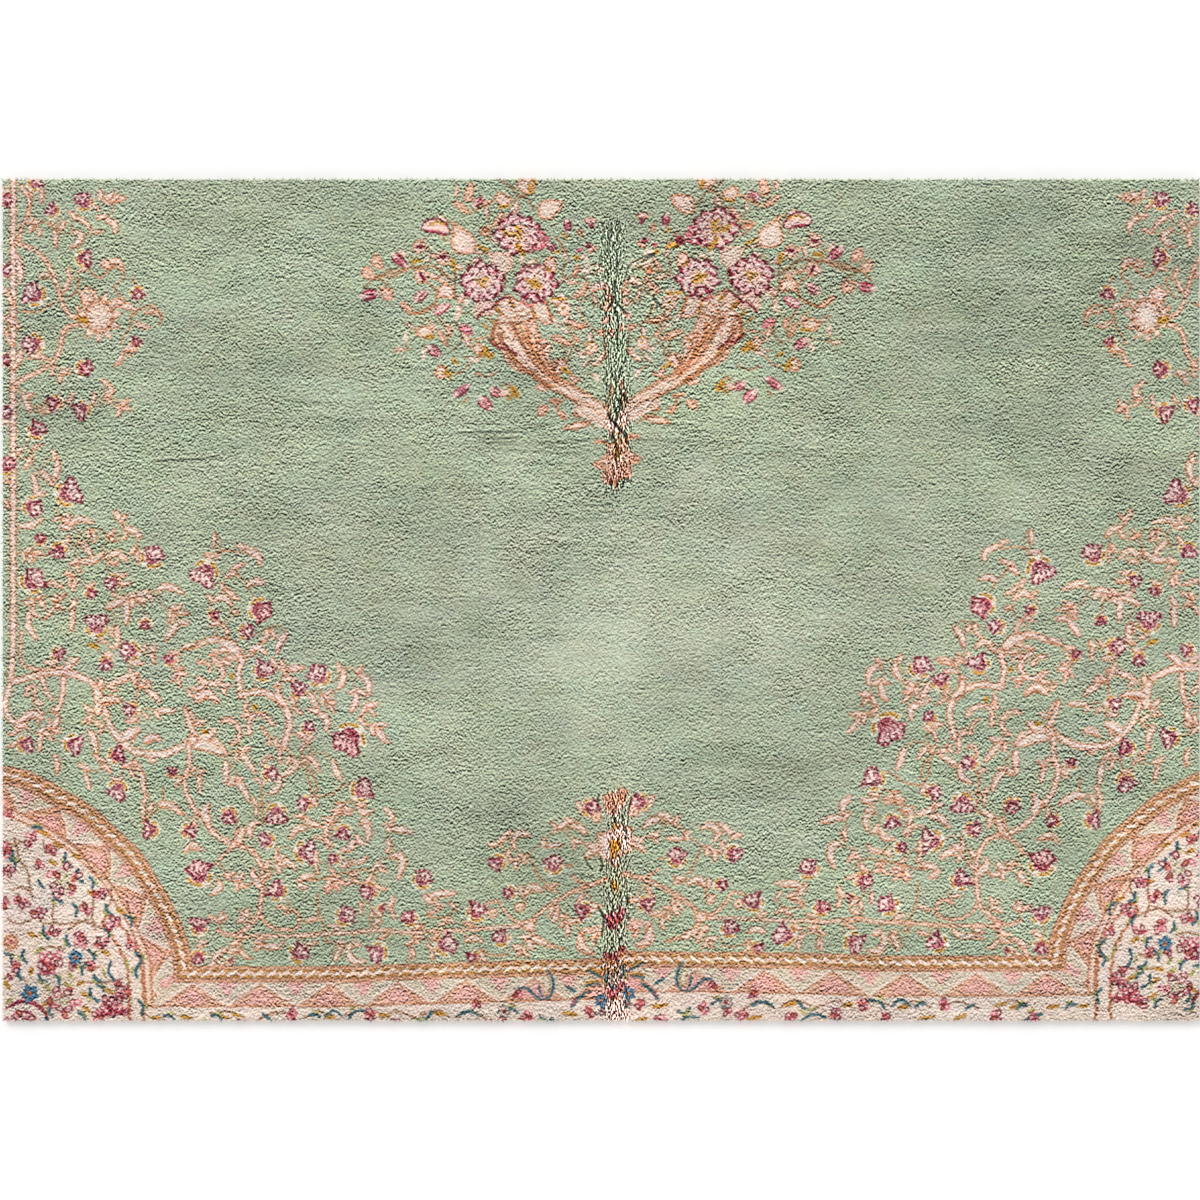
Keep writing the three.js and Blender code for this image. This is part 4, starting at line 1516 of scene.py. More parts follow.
@dataclass(frozen=True)
class Border:
    """The guard band, the row of triangles, the flowered strip and the ivory corner.

    Attributes:
        guard: The guard band.
        triangles: The row of triangles.
        top: Height of the band's upper edge above the front edge.
        arch_depth: Depth at which the ivory begins, measured inwards from the corner's arch.
        arch_start: How far the band has run where the arch begins.
        stripe_start: Depth at which the arch's own stripe begins.
        stripe_line: Depth of the pale line in that stripe.
    """

    guard: GuardBand = GuardBand()
    triangles: TriangleRow = TriangleRow()
    top: float = 46.0
    arch_depth: float = 41.5
    arch_start: float = 6.0
    stripe_start: float = 29.0
    stripe_line: float = 32.4

    def rise(self, u: np.ndarray) -> np.ndarray:
        """How far the band bows upwards towards the middle line.

        Args:
            u: Distances from the middle line.

        Returns:
            The rise in millimetres.
        """
        return np.interp(u, (20.0, 60.0, 120.0, 180.0, 215.0), (6.0, 5.0, 3.5, 2.0, 0.0))

    def draw(self, cartoon: Cartoon) -> None:
        """Draws the bands and what lies in them.

        Args:
            cartoon: The drawing that they go on.
        """
        window = cartoon.window((-30.0, -20.0), (530.0, 225.0))
        below = self.top + self.rise(window.u) - window.v
        edge = rounded(ARCH)
        reach = measure(window.u, window.v, edge)
        inside = (window.u > 340.0) & (window.v < np.interp(window.u, edge[:, 0], edge[:, 1]))
        inwards = np.where(inside, reach.distance, -reach.distance) * IVORY_START / self.arch_depth
        arched = inwards > below
        depth = np.maximum(inwards, below)
        run = np.where(arched, reach.along + self.arch_start, window.u)
        place = BandPlace(window, depth, run, arched.astype(float))
        self.triangles.draw(cartoon, place)
        self.guard.draw(cartoon, place)
        cartoon.lay(window, depth - IVORY_START + 2.0, Yarn.RUST, 0.8)
        cartoon.lay(window, depth - IVORY_START + 0.6, Yarn.IVORY)
        arch = np.minimum(inwards - below, np.minimum(depth - self.stripe_start, IVORY_START - depth))
        cartoon.lay(window, arch, Yarn.RUST, 0.8)
        cartoon.lay(window, arch - 1.2, Yarn.PEACH)
        line = np.minimum(arch - 1.8, 0.5 - np.abs(depth - self.stripe_line))
        cartoon.lay(window, line, Yarn.CREAM)
        self.draw_lane(cartoon)
        self.draw_corner(cartoon)

    def draw_lane(self, cartoon: Cartoon) -> None:
        """Draws the peach stripe that turns down inside the corner.

        Args:
            cartoon: The drawing.
        """
        lane = ((424, 82), (411, 64), (404, 45), (402, 20), (402, -16))
        Stem(lane, 14.0, Yarn.RUST, Yarn.IVORY, 2.3).draw(cartoon)

    def draw_corner(self, cartoon: Cartoon) -> None:
        """Draws the stems, leaves and flowers of the corner and the front strip.

        Args:
            cartoon: The drawing.
        """
        for path in CORNER_STEMS:
            Stem(path, 1.7, Yarn.BROWN, None, strength=0.8).draw(cartoon)
        for index, (path, width, rim, core) in enumerate(STROKES):
            if rim is Yarn.TEAL and len(path) == 2:
                self.draw_hook(cartoon, np.array(path[0]), np.array(path[1]), 1.0 if index % 2 else -1.0)
            elif rim is Yarn.GOLD:
                Leaf(path, 0.8 * width, Yarn.OCHRE, core, 0.9).draw(cartoon)
            else:
                Leaf(path, 0.74 * width, rim, core, 1.0).draw(cartoon)
        for place in POSIES:
            Posy(*place).draw(cartoon)
        for u, v, radius, kind in BORDER_FLOWERS:
            if kind is Flower.PEONY:
                Posy(u, v, 2.2 * radius, 11, Yarn.OLIVE).draw(cartoon)
            elif kind is Flower.ROSE:
                Posy(u, v, 2.0 * radius, 13).draw(cartoon)
                Posy(u, v, 1.1 * radius, 5).draw(cartoon)
            else:
                replace(FLOWERS[kind], u=u, v=v, radius=radius).draw(cartoon)

    def draw_hook(self, cartoon: Cartoon, start: np.ndarray, end: np.ndarray, side: float) -> None:
        """Draws a short bent leaf in teal, with an olive one beside it.

        Args:
            cartoon: The drawing.
            start: One end of the leaf.
            end: The other end.
            side: Which way it bends, 1 or -1.
        """
        ahead = end - start
        aside = side * np.array([-ahead[1], ahead[0]])
        middle = 0.5 * (start + end) + 0.28 * aside
        bent = as_path(start - 0.15 * ahead, middle, end + 0.2 * ahead)
        Stem(bent, 2.3, Yarn.TEAL, None).draw(cartoon)
        beside = middle + 0.3 * aside
        Stem(as_path(beside - 0.25 * ahead, beside + 0.3 * ahead), 2.0, Yarn.OLIVE, None).draw(cartoon)


# The corner's arch: its outer edge, from below the front edge to beyond the side.
ARCH: Path = (
    (353, -60), (353, 0), (354, 25), (355, 42), (357, 60), (364, 80), (373, 100), (385, 120), (400, 143),
    (420, 162), (440, 180), (460, 192), (490, 208), (516, 214), (540, 217),
)

# Thin stems that wind between the corner's flowers.
CORNER_STEMS: tuple[Path, ...] = (
    ((504, 153), (499, 133), (493, 126), (491, 113), (489, 103)),
    ((471, 100), (471, 83), (459, 81), (443, 85)), ((459, 76), (448, 83), (436, 80), (428, 76)),
    ((439, 110), (438, 100), (439, 86), (436, 76)), ((423, 111), (423, 100), (426, 95)),
    ((509, 85), (501, 81), (489, 85)), ((451, 33), (431, 32), (414, 35)), ((484, 90), (481, 83), (471, 81)),
    ((514, 35), (504, 38), (493, 33)), ((470, 160), (464, 153), (451, 143), (438, 126), (424, 116)),
    ((514, 150), (505, 148), (498, 150)), ((480, 150), (478, 142), (470, 138)),
    ((505, 110), (497, 112), (491, 108)), ((462, 60), (470, 62), (480, 60)),
    ((410, 100), (408, 92), (403, 80)), ((446, 45), (440, 42), (432, 45)), ((340, 6), (325, 8), (312, 3)),
    ((300, 2), (285, 7), (272, 5)), ((262, 3), (250, 8), (238, 4)), ((228, 5), (215, 8), (207, 5)),
    ((198, 3), (186, 8), (170, 3)), ((165, 5), (150, 9), (140, 3)), ((135, 3), (122, 8), (110, 2)),
)

# Blades, leaves and dashes of the corner and the front strip.
STROKES: tuple[Stroke, ...] = (
    *strokes(
        Yarn.TEAL, Yarn.TEAL, (3.5, (488, 161), (482, 160)), (3.5, (505, 141), (502, 134)),
        (3.0, (508, 135), (504, 130)), (3.5, (461, 139), (457, 131)),
        (3.5, (484, 119), (482, 113), (479, 110)), (3.5, (451, 125), (447, 117)),
        (3.0, (441, 119), (439, 112)),
    ),
    *strokes(Yarn.TEAL, Yarn.IVORY, (4.0, (471, 106), (465, 100))),
    *strokes(Yarn.TEAL, Yarn.TEAL, (3.5, (455, 97), (453, 89))),
    *strokes(Yarn.TEAL, Yarn.IVORY, (4.0, (427, 96), (423, 90))),
    *strokes(
        Yarn.TEAL, Yarn.TEAL, (3.5, (411, 88), (407, 81)), (3.5, (479, 78), (476, 70)),
        (3.0, (428, 76), (426, 69)), (3.0, (460, 70), (458, 64)), (3.5, (441, 58), (438, 52)),
        (3.5, (496, 58), (494, 50)), (5.0, (500, 46), (501, 40), (498, 34)), (4.0, (423, 48), (421, 36)),
        (3.5, (402, 56), (399, 49)), (3.5, (400, 46), (401, 38)), (3.5, (400, 16), (398, 7)),
        (3.0, (474, 11), (472, 5)), (3.0, (434, 29), (430, 25)),
    ),
    *strokes(
        Yarn.GOLD, Yarn.GOLD, (4.5, (484, 159), (474, 155)), (4.5, (472, 149), (464, 145)),
        (4.5, (456, 140), (448, 136)), (4.5, (476, 134), (468, 130)), (4.5, (443, 108), (435, 104)),
        (4.5, (419, 94), (411, 90)), (4.5, (432, 59), (424, 55)), (4.5, (493, 74), (485, 70)),
        (4.5, (449, 24), (441, 20)), (4.5, (429, 27), (421, 23)),
    ),
    *strokes(Yarn.OLIVE, Yarn.OLIVE, (5.0, (463, 32), (455, 28))),
    *strokes(Yarn.GOLD, Yarn.GOLD, (5.0, (512, 34), (508, 26))),
    *strokes(Yarn.WINE, Yarn.ROSE, (4.2, (512, 10), (500, 16), (488, 15), (478, 6), (476, -4))),
    *strokes(Yarn.WINE, Yarn.PINK, (3.4, (506, 4), (494, 8), (485, 1))),
    *strokes(Yarn.OLIVE, Yarn.OLIVE, (4.0, (487, 57), (480, 61))),
    *strokes(Yarn.GOLD, Yarn.GOLD, (4.5, (489, 45), (491, 38))),
    *strokes(Yarn.OLIVE, Yarn.OLIVE, (4.5, (459, 41), (455, 35))),
    *strokes(Yarn.GOLD, Yarn.GOLD, (4.5, (452, 30), (444, 33)), (4.5, (447, 12), (440, 7))),
    *strokes(Yarn.OLIVE, Yarn.OLIVE, (4.5, (478, 30), (474, 25)), (4.5, (505, 20), (511, 14))),
    *strokes(Yarn.GOLD, Yarn.GOLD, (4.0, (481, 12), (476, 15))),
    *strokes(
        Yarn.TEAL, Yarn.TEAL, (3.5, (437, 38), (432, 34)), (3.5, (447, 40), (444, 47)),
        (3.5, (483, 38), (478, 34)), (3.5, (511, 56), (507, 50)), (3.2, (467, 32), (471, 38)),
        (3.5, (450, 6), (446, 1)), (3.5, (477, 2), (471, -2)),
    ),
    *strokes(Yarn.WINE, Yarn.PINK, (4.5, (506, 34), (510, 40))),
    *strokes(Yarn.TEAL, Yarn.TEAL, (3.5, (440, 26), (435, 18))),
    *strokes(Yarn.OLIVE, Yarn.OLIVE, (4.0, (411, 52), (409, 44))),
    *strokes(
        Yarn.GOLD, Yarn.GOLD, (4.5, (334, 4), (324, 2)), (4.0, (323, 6), (313, 4)),
        (4.5, (245, 4), (235, 2)), (4.5, (200, 6), (190, 4)), (4.5, (390, 3), (381, 3)),
        (4.5, (366, 4), (355, 2)), (4.5, (155, 7), (142, 5)),
    ),
    *strokes(
        Yarn.TEAL, Yarn.TEAL, (3.5, (338, 4), (332, 2)), (3.5, (297, 6), (294, 4), (289, 1)),
        (3.5, (256, 5), (250, 3)), (3.2, (246, 3), (237, 9), (230, 3)), (3.5, (223, 3), (214, 8)),
        (3.5, (166, 2), (157, 7)), (3.5, (378, 4), (372, 2)),
    ),
    *strokes(Yarn.GOLD, Yarn.GOLD, (4.5, (290, -3), (280, -8))),
    *strokes(Yarn.TEAL, Yarn.TEAL, (3.5, (350, -4), (340, -8))),
    *strokes(Yarn.GOLD, Yarn.GOLD, (4.0, (265, -5), (250, -7))),
    *strokes(Yarn.TEAL, Yarn.TEAL, (4.0, (175, -6), (160, -8)), (3.5, (135, 4), (125, 8), (115, 4))),
    *strokes(Yarn.GOLD, Yarn.GOLD, (4.5, (125, -4), (112, -7))),
    *strokes(Yarn.TEAL, Yarn.TEAL, (3.2, (84, 28), (76, 27), (69, 21), (62, 17))),
    *strokes(Yarn.OLIVE, Yarn.IVORY, (7.5, (61, 37), (59, 30), (60, 23))),
    *strokes(
        Yarn.TEAL, Yarn.TEAL, (3.2, (60, 43), (55, 36), (54, 27), (57, 20), (63, 18)),
        (2.8, (66, 31), (65, 24), (62, 19)), (3.5, (44, 29), (40, 27), (35, 24)),
        (3.0, (27, 43), (19, 39), (12, 36)),
    ),
    *strokes(
        Yarn.GOLD, Yarn.GOLD, (3.8, (25, 45), (19, 42), (13, 39)), (4.0, (28, 31), (21, 33), (15, 33)),
    ),
    *strokes(
        Yarn.TEAL, Yarn.TEAL, (2.8, (28, 29), (21, 31), (15, 31)), (3.5, (33, 18), (28, 23), (24, 25)),
    ),
    *strokes(Yarn.TEAL, Yarn.ROSE, (4.5, (39, 11), (35, 17), (32, 21))),
    *strokes(Yarn.GOLD, Yarn.GOLD, (5.0, (47, 7), (33, 5))),
    *strokes(Yarn.TEAL, Yarn.ROSE, (4.5, (64, 3), (56, 1))),
    *strokes(Yarn.TEAL, Yarn.GOLD, (4.5, (93, 9), (85, 7))),
    *strokes(Yarn.TEAL, Yarn.TEAL, (3.6, (8, 39), (4, 29)), (3.6, (2, 40), (0, 30))),
    *strokes(Yarn.GOLD, Yarn.GOLD, (4.5, (30, -4), (18, -7))),
    *strokes(Yarn.TEAL, Yarn.TEAL, (3.5, (70, -5), (58, -9))),
)

# Small clumps of petals in the corner and the front strip: u, v and width.
POSIES: tuple[tuple[float, float, float], ...] = (
    (491, 152, 12), (473, 143, 8), (510, 125, 12), (512, 143, 12), (509, 173, 6), (483, 130, 7),
    (432, 106, 11), (498, 99, 12), (484, 90, 12), (444, 93, 10), (422, 82, 12), (471, 74, 10),
    (449, 68, 12), (431, 65, 10), (496, 3, 15), (508, -1, 9), (434, 4, 9), (411, 24, 8), (413, 8, 8),
    (440, 46, 6), (512, 98, 8), (407, 64, 7), (456, 46, 6), (503, 45, 8), (418, 30, 6), (418, 19, 7),
    (272, 5, 8), (207, 5, 9), (185, -3, 9), (314, -5, 10), (345, -7, 8), (225, -7, 8), (23, 7, 8),
    (76, 3, 8), (96, 0, 7), (108, -3, 8), (148, -5, 9), (40, -6, 8), (84, 22, 6), (5, 22, 5), (118, 14, 5),
)

# Open flowers there: u, v, radius, kind.
BORDER_FLOWERS: tuple[tuple[float, float, float, Flower], ...] = (
    (462, 117, 15, Flower.PEONY), (475, 48, 13, Flower.ROSE), (463, 17, 13, Flower.PEONY),
    (424, 12, 11, Flower.ROSE), (491, 23, 8, Flower.STAR), (453, 53, 7, Flower.STAR),
    (507, 66, 7, Flower.PEACH), (14, 17, 6, Flower.STAR), (13, 8, 4, Flower.ROSETTE),
    (95, 8, 6, Flower.ROSETTE),
)


class FoldPlace(NamedTuple):
    """Where the old fold crosses the rug at a height y, and how deep it is there, in millimetres."""

    y: float
    x: float
    depth: float


# The old fold, from the front edge to the back.
OLD_FOLD: tuple[FoldPlace, ...] = (
    FoldPlace(-352, 13, 1.2), FoldPlace(-270, 11, 1.5), FoldPlace(-190, 15, 1.3), FoldPlace(-120, 12, 0.3),
    FoldPlace(60, 12, 0.3), FoldPlace(100, 14, 1.1), FoldPlace(170, 15, 1.5), FoldPlace(250, 9, 1.3),
    FoldPlace(322, 11, 0.9), FoldPlace(352, 8, 0.0),
)

# How worn the pile is along that fold: y, and the wear from 0 to 1.
FOLD_WEAR: tuple[tuple[float, float], ...] = (
    (-352, 0.95), (-250, 1.0), (-164, 0.9), (-156, 0.1), (-60, 0.05), (40, 0.08), (86, 0.2), (98, 0.85),
    (170, 1.0), (250, 0.95), (312, 0.85), (322, 0.12), (352, 0.05),
)

# Ripples along the weft: x and y of the middle, length and height, in millimetres.
WEFT_RIPPLES: tuple[tuple[float, float, float, float], ...] = (
    (-92, 137, 150, 0.7), (108, 124, 130, 0.5), (-8, 92, 110, 0.5), (-110, -72, 190, 0.6),
    (92, -80, 170, 0.6), (-310, 78, 160, 0.4), (330, 212, 190, 0.5),
)

# Slow swells of the whole rug: wavelength, bearing in radians and height.
SWELLS: tuple[tuple[float, float, float], ...] = ((410, 0.4, 0.28), (263, 1.9, 0.22), (151, 2.7, 0.14))


def falloff(distance: np.ndarray, reach: np.ndarray | float) -> np.ndarray:
    """Fades from 1 at no distance to 0 at the reach.

    Args:
        distance: How far away each place is.
        reach: Where nothing is left.

    Returns:
        The share that is left.
    """
    return (1.0 - np.minimum(np.abs(distance) / reach, 1.0) ** 2) ** 2


def drift(x: np.ndarray, y: np.ndarray, across: float, up: float, seed: int) -> np.ndarray:
    """Smooth random numbers over the rug.

    Args:
        x: Places across, in millimetres.
        y: Places up, in millimetres.
        across: Distance across between two independent values.
        up: Distance up between two independent values.
        seed: Picks the numbers.

    Returns:
        Numbers of about -1 to 1 that change smoothly from place to place.
    """
    columns, rows = int(1100 / across) + 3, int(800 / up) + 3
    values = np.random.default_rng(seed).uniform(-1.0, 1.0, (rows, columns)).astype(np.float32)
    column, row = (x + 550.0) / across, (y + 400.0) / up
    left, low = column.astype(int), row.astype(int)
    share_x, share_y = smoothstep(column - left, 0.0, 1.0), smoothstep(row - low, 0.0, 1.0)
    below = values[low, left] * (1 - share_x) + values[low, left + 1] * share_x
    above = values[low + 1, left] * (1 - share_x) + values[low + 1, left + 1] * share_x
    return below * (1 - share_y) + above * share_y


def glow(x: np.ndarray, y: np.ndarray, middle: Point, half: Point) -> np.ndarray:
    """Makes a soft patch.

    Args:
        x: Places across.
        y: Places up.
        middle: Place of the patch's middle.
        half: About half its length and half its height.

    Returns:
        1 in the middle, and less and less away from it.
    """
    return np.exp(-(((x - middle[0]) / half[0]) ** 2 + ((y - middle[1]) / half[1]) ** 2))


class Layer(NamedTuple):
    """One layer of smooth random change.

    Attributes:
        strength: Its greatest value.
        across: Distance across between two independent values.
        up: Distance up between two independent values.
        seed: Picks the values.
    """

    strength: float
    across: float
    up: float
    seed: int


def layered(x: np.ndarray, y: np.ndarray, *layers: Layer) -> np.ndarray:
    """Adds up layers of smooth random change.

    Args:
        x: Places across, in millimetres.
        y: Places up, in millimetres.
        layers: The layers.

    Returns:
        Their sum at each place.
    """
    return sum(layer.strength * drift(x, y, layer.across, layer.up, layer.seed) for layer in layers)


# Random change of the fold's course, the pile's roughness and the course of the breaks along the weft.
FOLD_WANDER = Layer(1.5, 60.0, 16.0, 51)
ROUGH_CHANGE = Layer(0.10, 60.0, 40.0, 31)
WEFT_WANDER = Layer(0.9, 9.0, 40.0, 23)

# Random change of the knots' places, of the dye's red and blue, and of its lightness.
STRAY_ACROSS = (Layer(1.0, 3.2, 2.1, 11), Layer(0.7, 9.0, 5.0, 12))
STRAY_UP = (Layer(0.7, 3.2, 2.1, 13), Layer(0.7, 12.0, 6.0, 14))
RED_LAYERS = (Layer(0.030, 17.0, 11.0, 41), Layer(0.02, 48.0, 30.0, 42), Layer(0.06, 1.7, 1.7, 43))
BLUE_LAYERS = (Layer(0.042, 21.0, 13.0, 44), Layer(0.025, 60.0, 34.0, 45), Layer(0.06, 1.7, 1.7, 46))
STREAKS = Layer(1.0, 60.0, 3.4, 26)
TONE_LAYERS = (
    Layer(0.07, 130.0, 80.0, 27), Layer(0.08, 70.0, 42.0, 21), Layer(0.08, 30.0, 17.0, 24),
    Layer(0.05, 13.0, 8.0, 22),
)

# Where the pile is rougher or smoother: x, y, half the length, half the height, and the change.
ROUGH_PATCHES: tuple[tuple[float, float, float, float, float], ...] = (
    (271, 178, 60, 150, -0.24), (203, 61, 120, 50, -0.26), (-140, 41, 90, 60, -0.24),
    (27, -76, 200, 80, -0.34), (-218, 168, 80, 60, -0.1), (66, 250, 220, 90, 0.34),
    (-460, 150, 60, 200, 0.15), (-300, -315, 180, 12, -0.3), (300, -310, 180, 12, -0.3),
    (-330, -120, 160, 120, 0.1), (350, -150, 150, 110, 0.05),
)


@dataclass(frozen=True)
class RugForm:
    """The rug's size and how its surface swells and sinks, in millimetres.

    Attributes:
        width: Length across.
        depth: Length from front to back.
        foundation: Thickness of the cotton foundation.
        thickness: Thickness with the pile.
        fold_half_width: Half the width of the old fold's furrow.
        furrow: How deep the furrow is, as a share of the fold's depth.
        lip: How high its lips stand, as a share of the same.
        ripple_wavelength: Distance between two ripples.
        ripple_half_depth: How far a group of ripples reaches from front to back.
    """

    width: float = 1000.0
    depth: float = 703.0
    foundation: float = 2.6
    thickness: float = 11.0
    fold_half_width: float = 14.0
    furrow: float = 1.35
    lip: float = 0.35
    ripple_wavelength: float = 18.0
    ripple_half_depth: float = 20.0

    def fold(self, x: np.ndarray, y: np.ndarray) -> np.ndarray:
        """How much the old fold has worn the pile at each place.

        Args:
            x: Places across.
            y: Places from the middle towards the back.

        Returns:
            The wear, from 0 to about 1.
        """
        rows, wear = np.array(OLD_FOLD), np.array(FOLD_WEAR)
        centre = np.interp(y, rows[:, 0], rows[:, 1]) + layered(x, y, FOLD_WANDER)
        return falloff(x - centre, 1.2 * self.fold_half_width) * np.interp(y, wear[:, 0], wear[:, 1])

    def roughness(self, x: np.ndarray, y: np.ndarray) -> np.ndarray:
        """How strongly the clumps of wool stand out at each place.

        Args:
            x: Places across.
            y: Places from the middle towards the back.

        Returns:
            The strength, 1 for an even pile.
        """
        # This strength also scales the painted shade in the gaps between the clumps.
        rough = 1.0 + layered(x, y, ROUGH_CHANGE)
        for middle_x, middle_y, length, height, change in ROUGH_PATCHES:
            rough = rough + change * glow(x, y, (middle_x, middle_y), (length, height))
        return np.clip(rough, 0.5, 1.5)

    def top(self, x: np.ndarray, y: np.ndarray) -> np.ndarray:
        """The height of the pile's surface.

        Args:
            x: Places across.
            y: Places from the middle towards the back.

        Returns:
            The heights.
        """
        rows = np.array(OLD_FOLD)
        centre, depth = np.interp(y, rows[:, 0], rows[:, 1]), np.interp(y, rows[:, 0], rows[:, 2])
        lip = self.lip * depth * falloff(x - centre, 2 * self.fold_half_width)
        height = self.thickness + lip - self.furrow * depth * falloff(x - centre, self.fold_half_width)
        for middle_x, middle_y, length, rise in WEFT_RIPPLES:
            share = falloff(x - middle_x, length / 2) * falloff(y - middle_y, self.ripple_half_depth)
            height = height + rise * share * np.cos(2 * np.pi * (y - middle_y) / self.ripple_wavelength)
        for wavelength, bearing, rise in SWELLS:
            along = x * math.cos(bearing) + y * math.sin(bearing)
            height = height + rise * np.sin(2 * np.pi * along / wavelength)
        return height


# How far a motif of the right half lies from its twin: u and v of the left one, then the shifts.
RIGHT_SHIFTS: tuple[tuple[float, float, float, float], ...] = (
    (465, 25, 2, 13), (440, 90, 5, 13), (350, 100, 4, 8), (418, 192, 7, 5), (330, 171, 6, 10),
    (460, 231, 6, 5), (435, 331, 9, 3), (345, 373, 10, 3), (298, 343, 4, 4), (225, 235, 1, 8),
    (265, 57, 0, 9), (200, 60, -5, 9), (160, 119, -4, 9), (213, 193, 0, 11), (455, 441, 9, -1),
    (448, 510, 8, -4), (437, 588, 9, 2), (446, 685, 6, 0), (113, 616, -3, 5), (152, 560, 1, 7),
    (60, 590, -2, 4), (54, 131, -4, 8), (30, 90, -5, 4), (143, 64, -5, 8), (22, 178, -5, 2),
    (350, 40, 4, 8), (280, 10, 0, 9), (100, 10, -5, 9), (30, 10, -5, 6),
)

# Slow light and dark patches: partly uneven dye, partly painted light and shade of the nap; the narrow dark
# ones along the old fold are painted shade in its crease. x, y, half the length, half the height, and the
# strength.
DYE_AND_SHADE_PATCHES: tuple[tuple[float, float, float, float, float], ...] = (
    (-480, 158, 35, 10, -0.15), (-430, 175, 40, 12, -0.1), (-280, 198, 90, 14, -0.05),
    (-165, 319, 75, 10, -0.07), (28, 316, 30, 14, -0.14), (96, 320, 24, 14, -0.2),
    (164, 280, 36, 12, -0.14), (214, 273, 18, 18, -0.12), (321, 316, 90, 22, -0.09),
    (457, 294, 34, 18, -0.14), (285, 280, 90, 40, -0.07), (440, 160, 80, 32, -0.06),
    (71, 130, 42, 10, -0.06), (486, 87, 20, 15, -0.08), (436, 73, 50, 14, -0.08), (357, 37, 40, 12, -0.11),
    (310, 44, 14, 14, -0.07), (428, -16, 60, 10, -0.05), (-143, -49, 30, 20, -0.09),
    (-200, -34, 80, 26, -0.06), (-82, -181, 26, 20, -0.1), (-36, -213, 36, 9, -0.06),
    (-50, -134, 42, 13, -0.05), (107, -127, 60, 13, -0.06), (178, -141, 50, 18, -0.07),
    (71, -163, 42, 20, -0.04), (400, -145, 80, 12, -0.06), (-360, -177, 90, 12, -0.06),
    (-270, -290, 100, 20, -0.05), (-390, 78, 60, 26, 0.03), (-486, 128, 28, 14, 0.1),
    (86, -27, 60, 26, 0.08), (-71, 66, 34, 32, 0.05), (-14, -20, 42, 26, 0.03), (-343, -134, 70, 26, 0.07),
    (343, 0, 52, 13, 0.06), (428, -77, 60, 32, 0.04), (214, -240, 80, 42, 0.04), (93, 165, 60, 26, 0.06),
    (-250, 273, 62, 32, 0.03), (-320, 137, 52, 22, 0.04), (-60, 150, 60, 20, 0.04),
    (190, 60, 120, 30, 0.03), (14, -295, 14, 60, -0.12), (5, 240, 12, 16, -0.12), (14, 165, 10, 40, -0.12),
    (12, 96, 12, 14, -0.1), (-457, -330, 36, 20, -0.18), (489, -338, 22, 18, -0.18),
    (27, -55, 150, 80, 0.14), (350, 240, 90, 70, -0.12), (-20, 190, 200, 60, 0.05),
    (14, -270, 14, 90, 0.08), (-40, -150, 120, 30, 0.04), (-372, 300, 120, 45, 0.07),
    (-190, 122, 170, 34, 0.08), (380, 110, 110, 60, -0.07), (-440, 0, 50, 80, 0.08),
    (60, -100, 75, 75, -0.09), (370, -240, 110, 45, 0.1), (300, -100, 100, 60, 0.06),
    (-440, -235, 60, 45, 0.13), (100, 195, 40, 30, 0.1), (80, 40, 150, 50, -0.04),
    (300, 220, 160, 90, -0.04), (460, -235, 40, 40, 0.06),
)

# Thin breaks along the weft, drawn as painted shade with a painted highlight just behind each:
# x and y of both ends, and how dark the painted shade is.
CRACKS: tuple[tuple[float, float, float, float, float], ...] = (
    (-376, 115, -317, 120, 0.8), (-243, 114, -236, 114, 0.7), (-322, 110, -316, 110, 0.7),
    (216, -155, 236, -153, 0.7), (-292, 112, -226, 116, 0.35), (483, 282, 500, 281, 0.7),
    (-143, 140, -60, 135, 0.3), (-120, 128, -10, 122, 0.3), (33, 134, 132, 130, 0.3),
    (333, 282, 492, 284, 0.35), (139, 283, 234, 281, 0.3), (74, 330, 154, 327, 0.3), (-40, 47, 20, 45, 0.3),
    (-30, 40, 40, 38, 0.25), (-200, -64, -90, -68, 0.25), (40, -74, 120, -78, 0.25),
    (-122, 140, -65, 140.5, 0.8), (-104, 134, -66, 136, 0.7), (-100, 131, -66, 132, 0.55),
    (-54, 131, -26, 133, 0.55), (-26, 134, -8, 132, 0.6), (-66, 146, -40, 147, 0.7),
    (-84, 143, -44, 144, 0.5), (-22, 80, 12, 79, 0.5), (-18, 74, 14, 73.5, 0.45), (-24, 68, 6, 68, 0.4),
    (-14, 62, 10, 62, 0.35), (52, 146, 82, 147, 0.4), (58, 141, 96, 142, 0.35), (-100, 115, -20, 114, 0.3),
    (41, 140, 50, 139, 0.6), (-50, 141, -45, 143, 0.7),
)
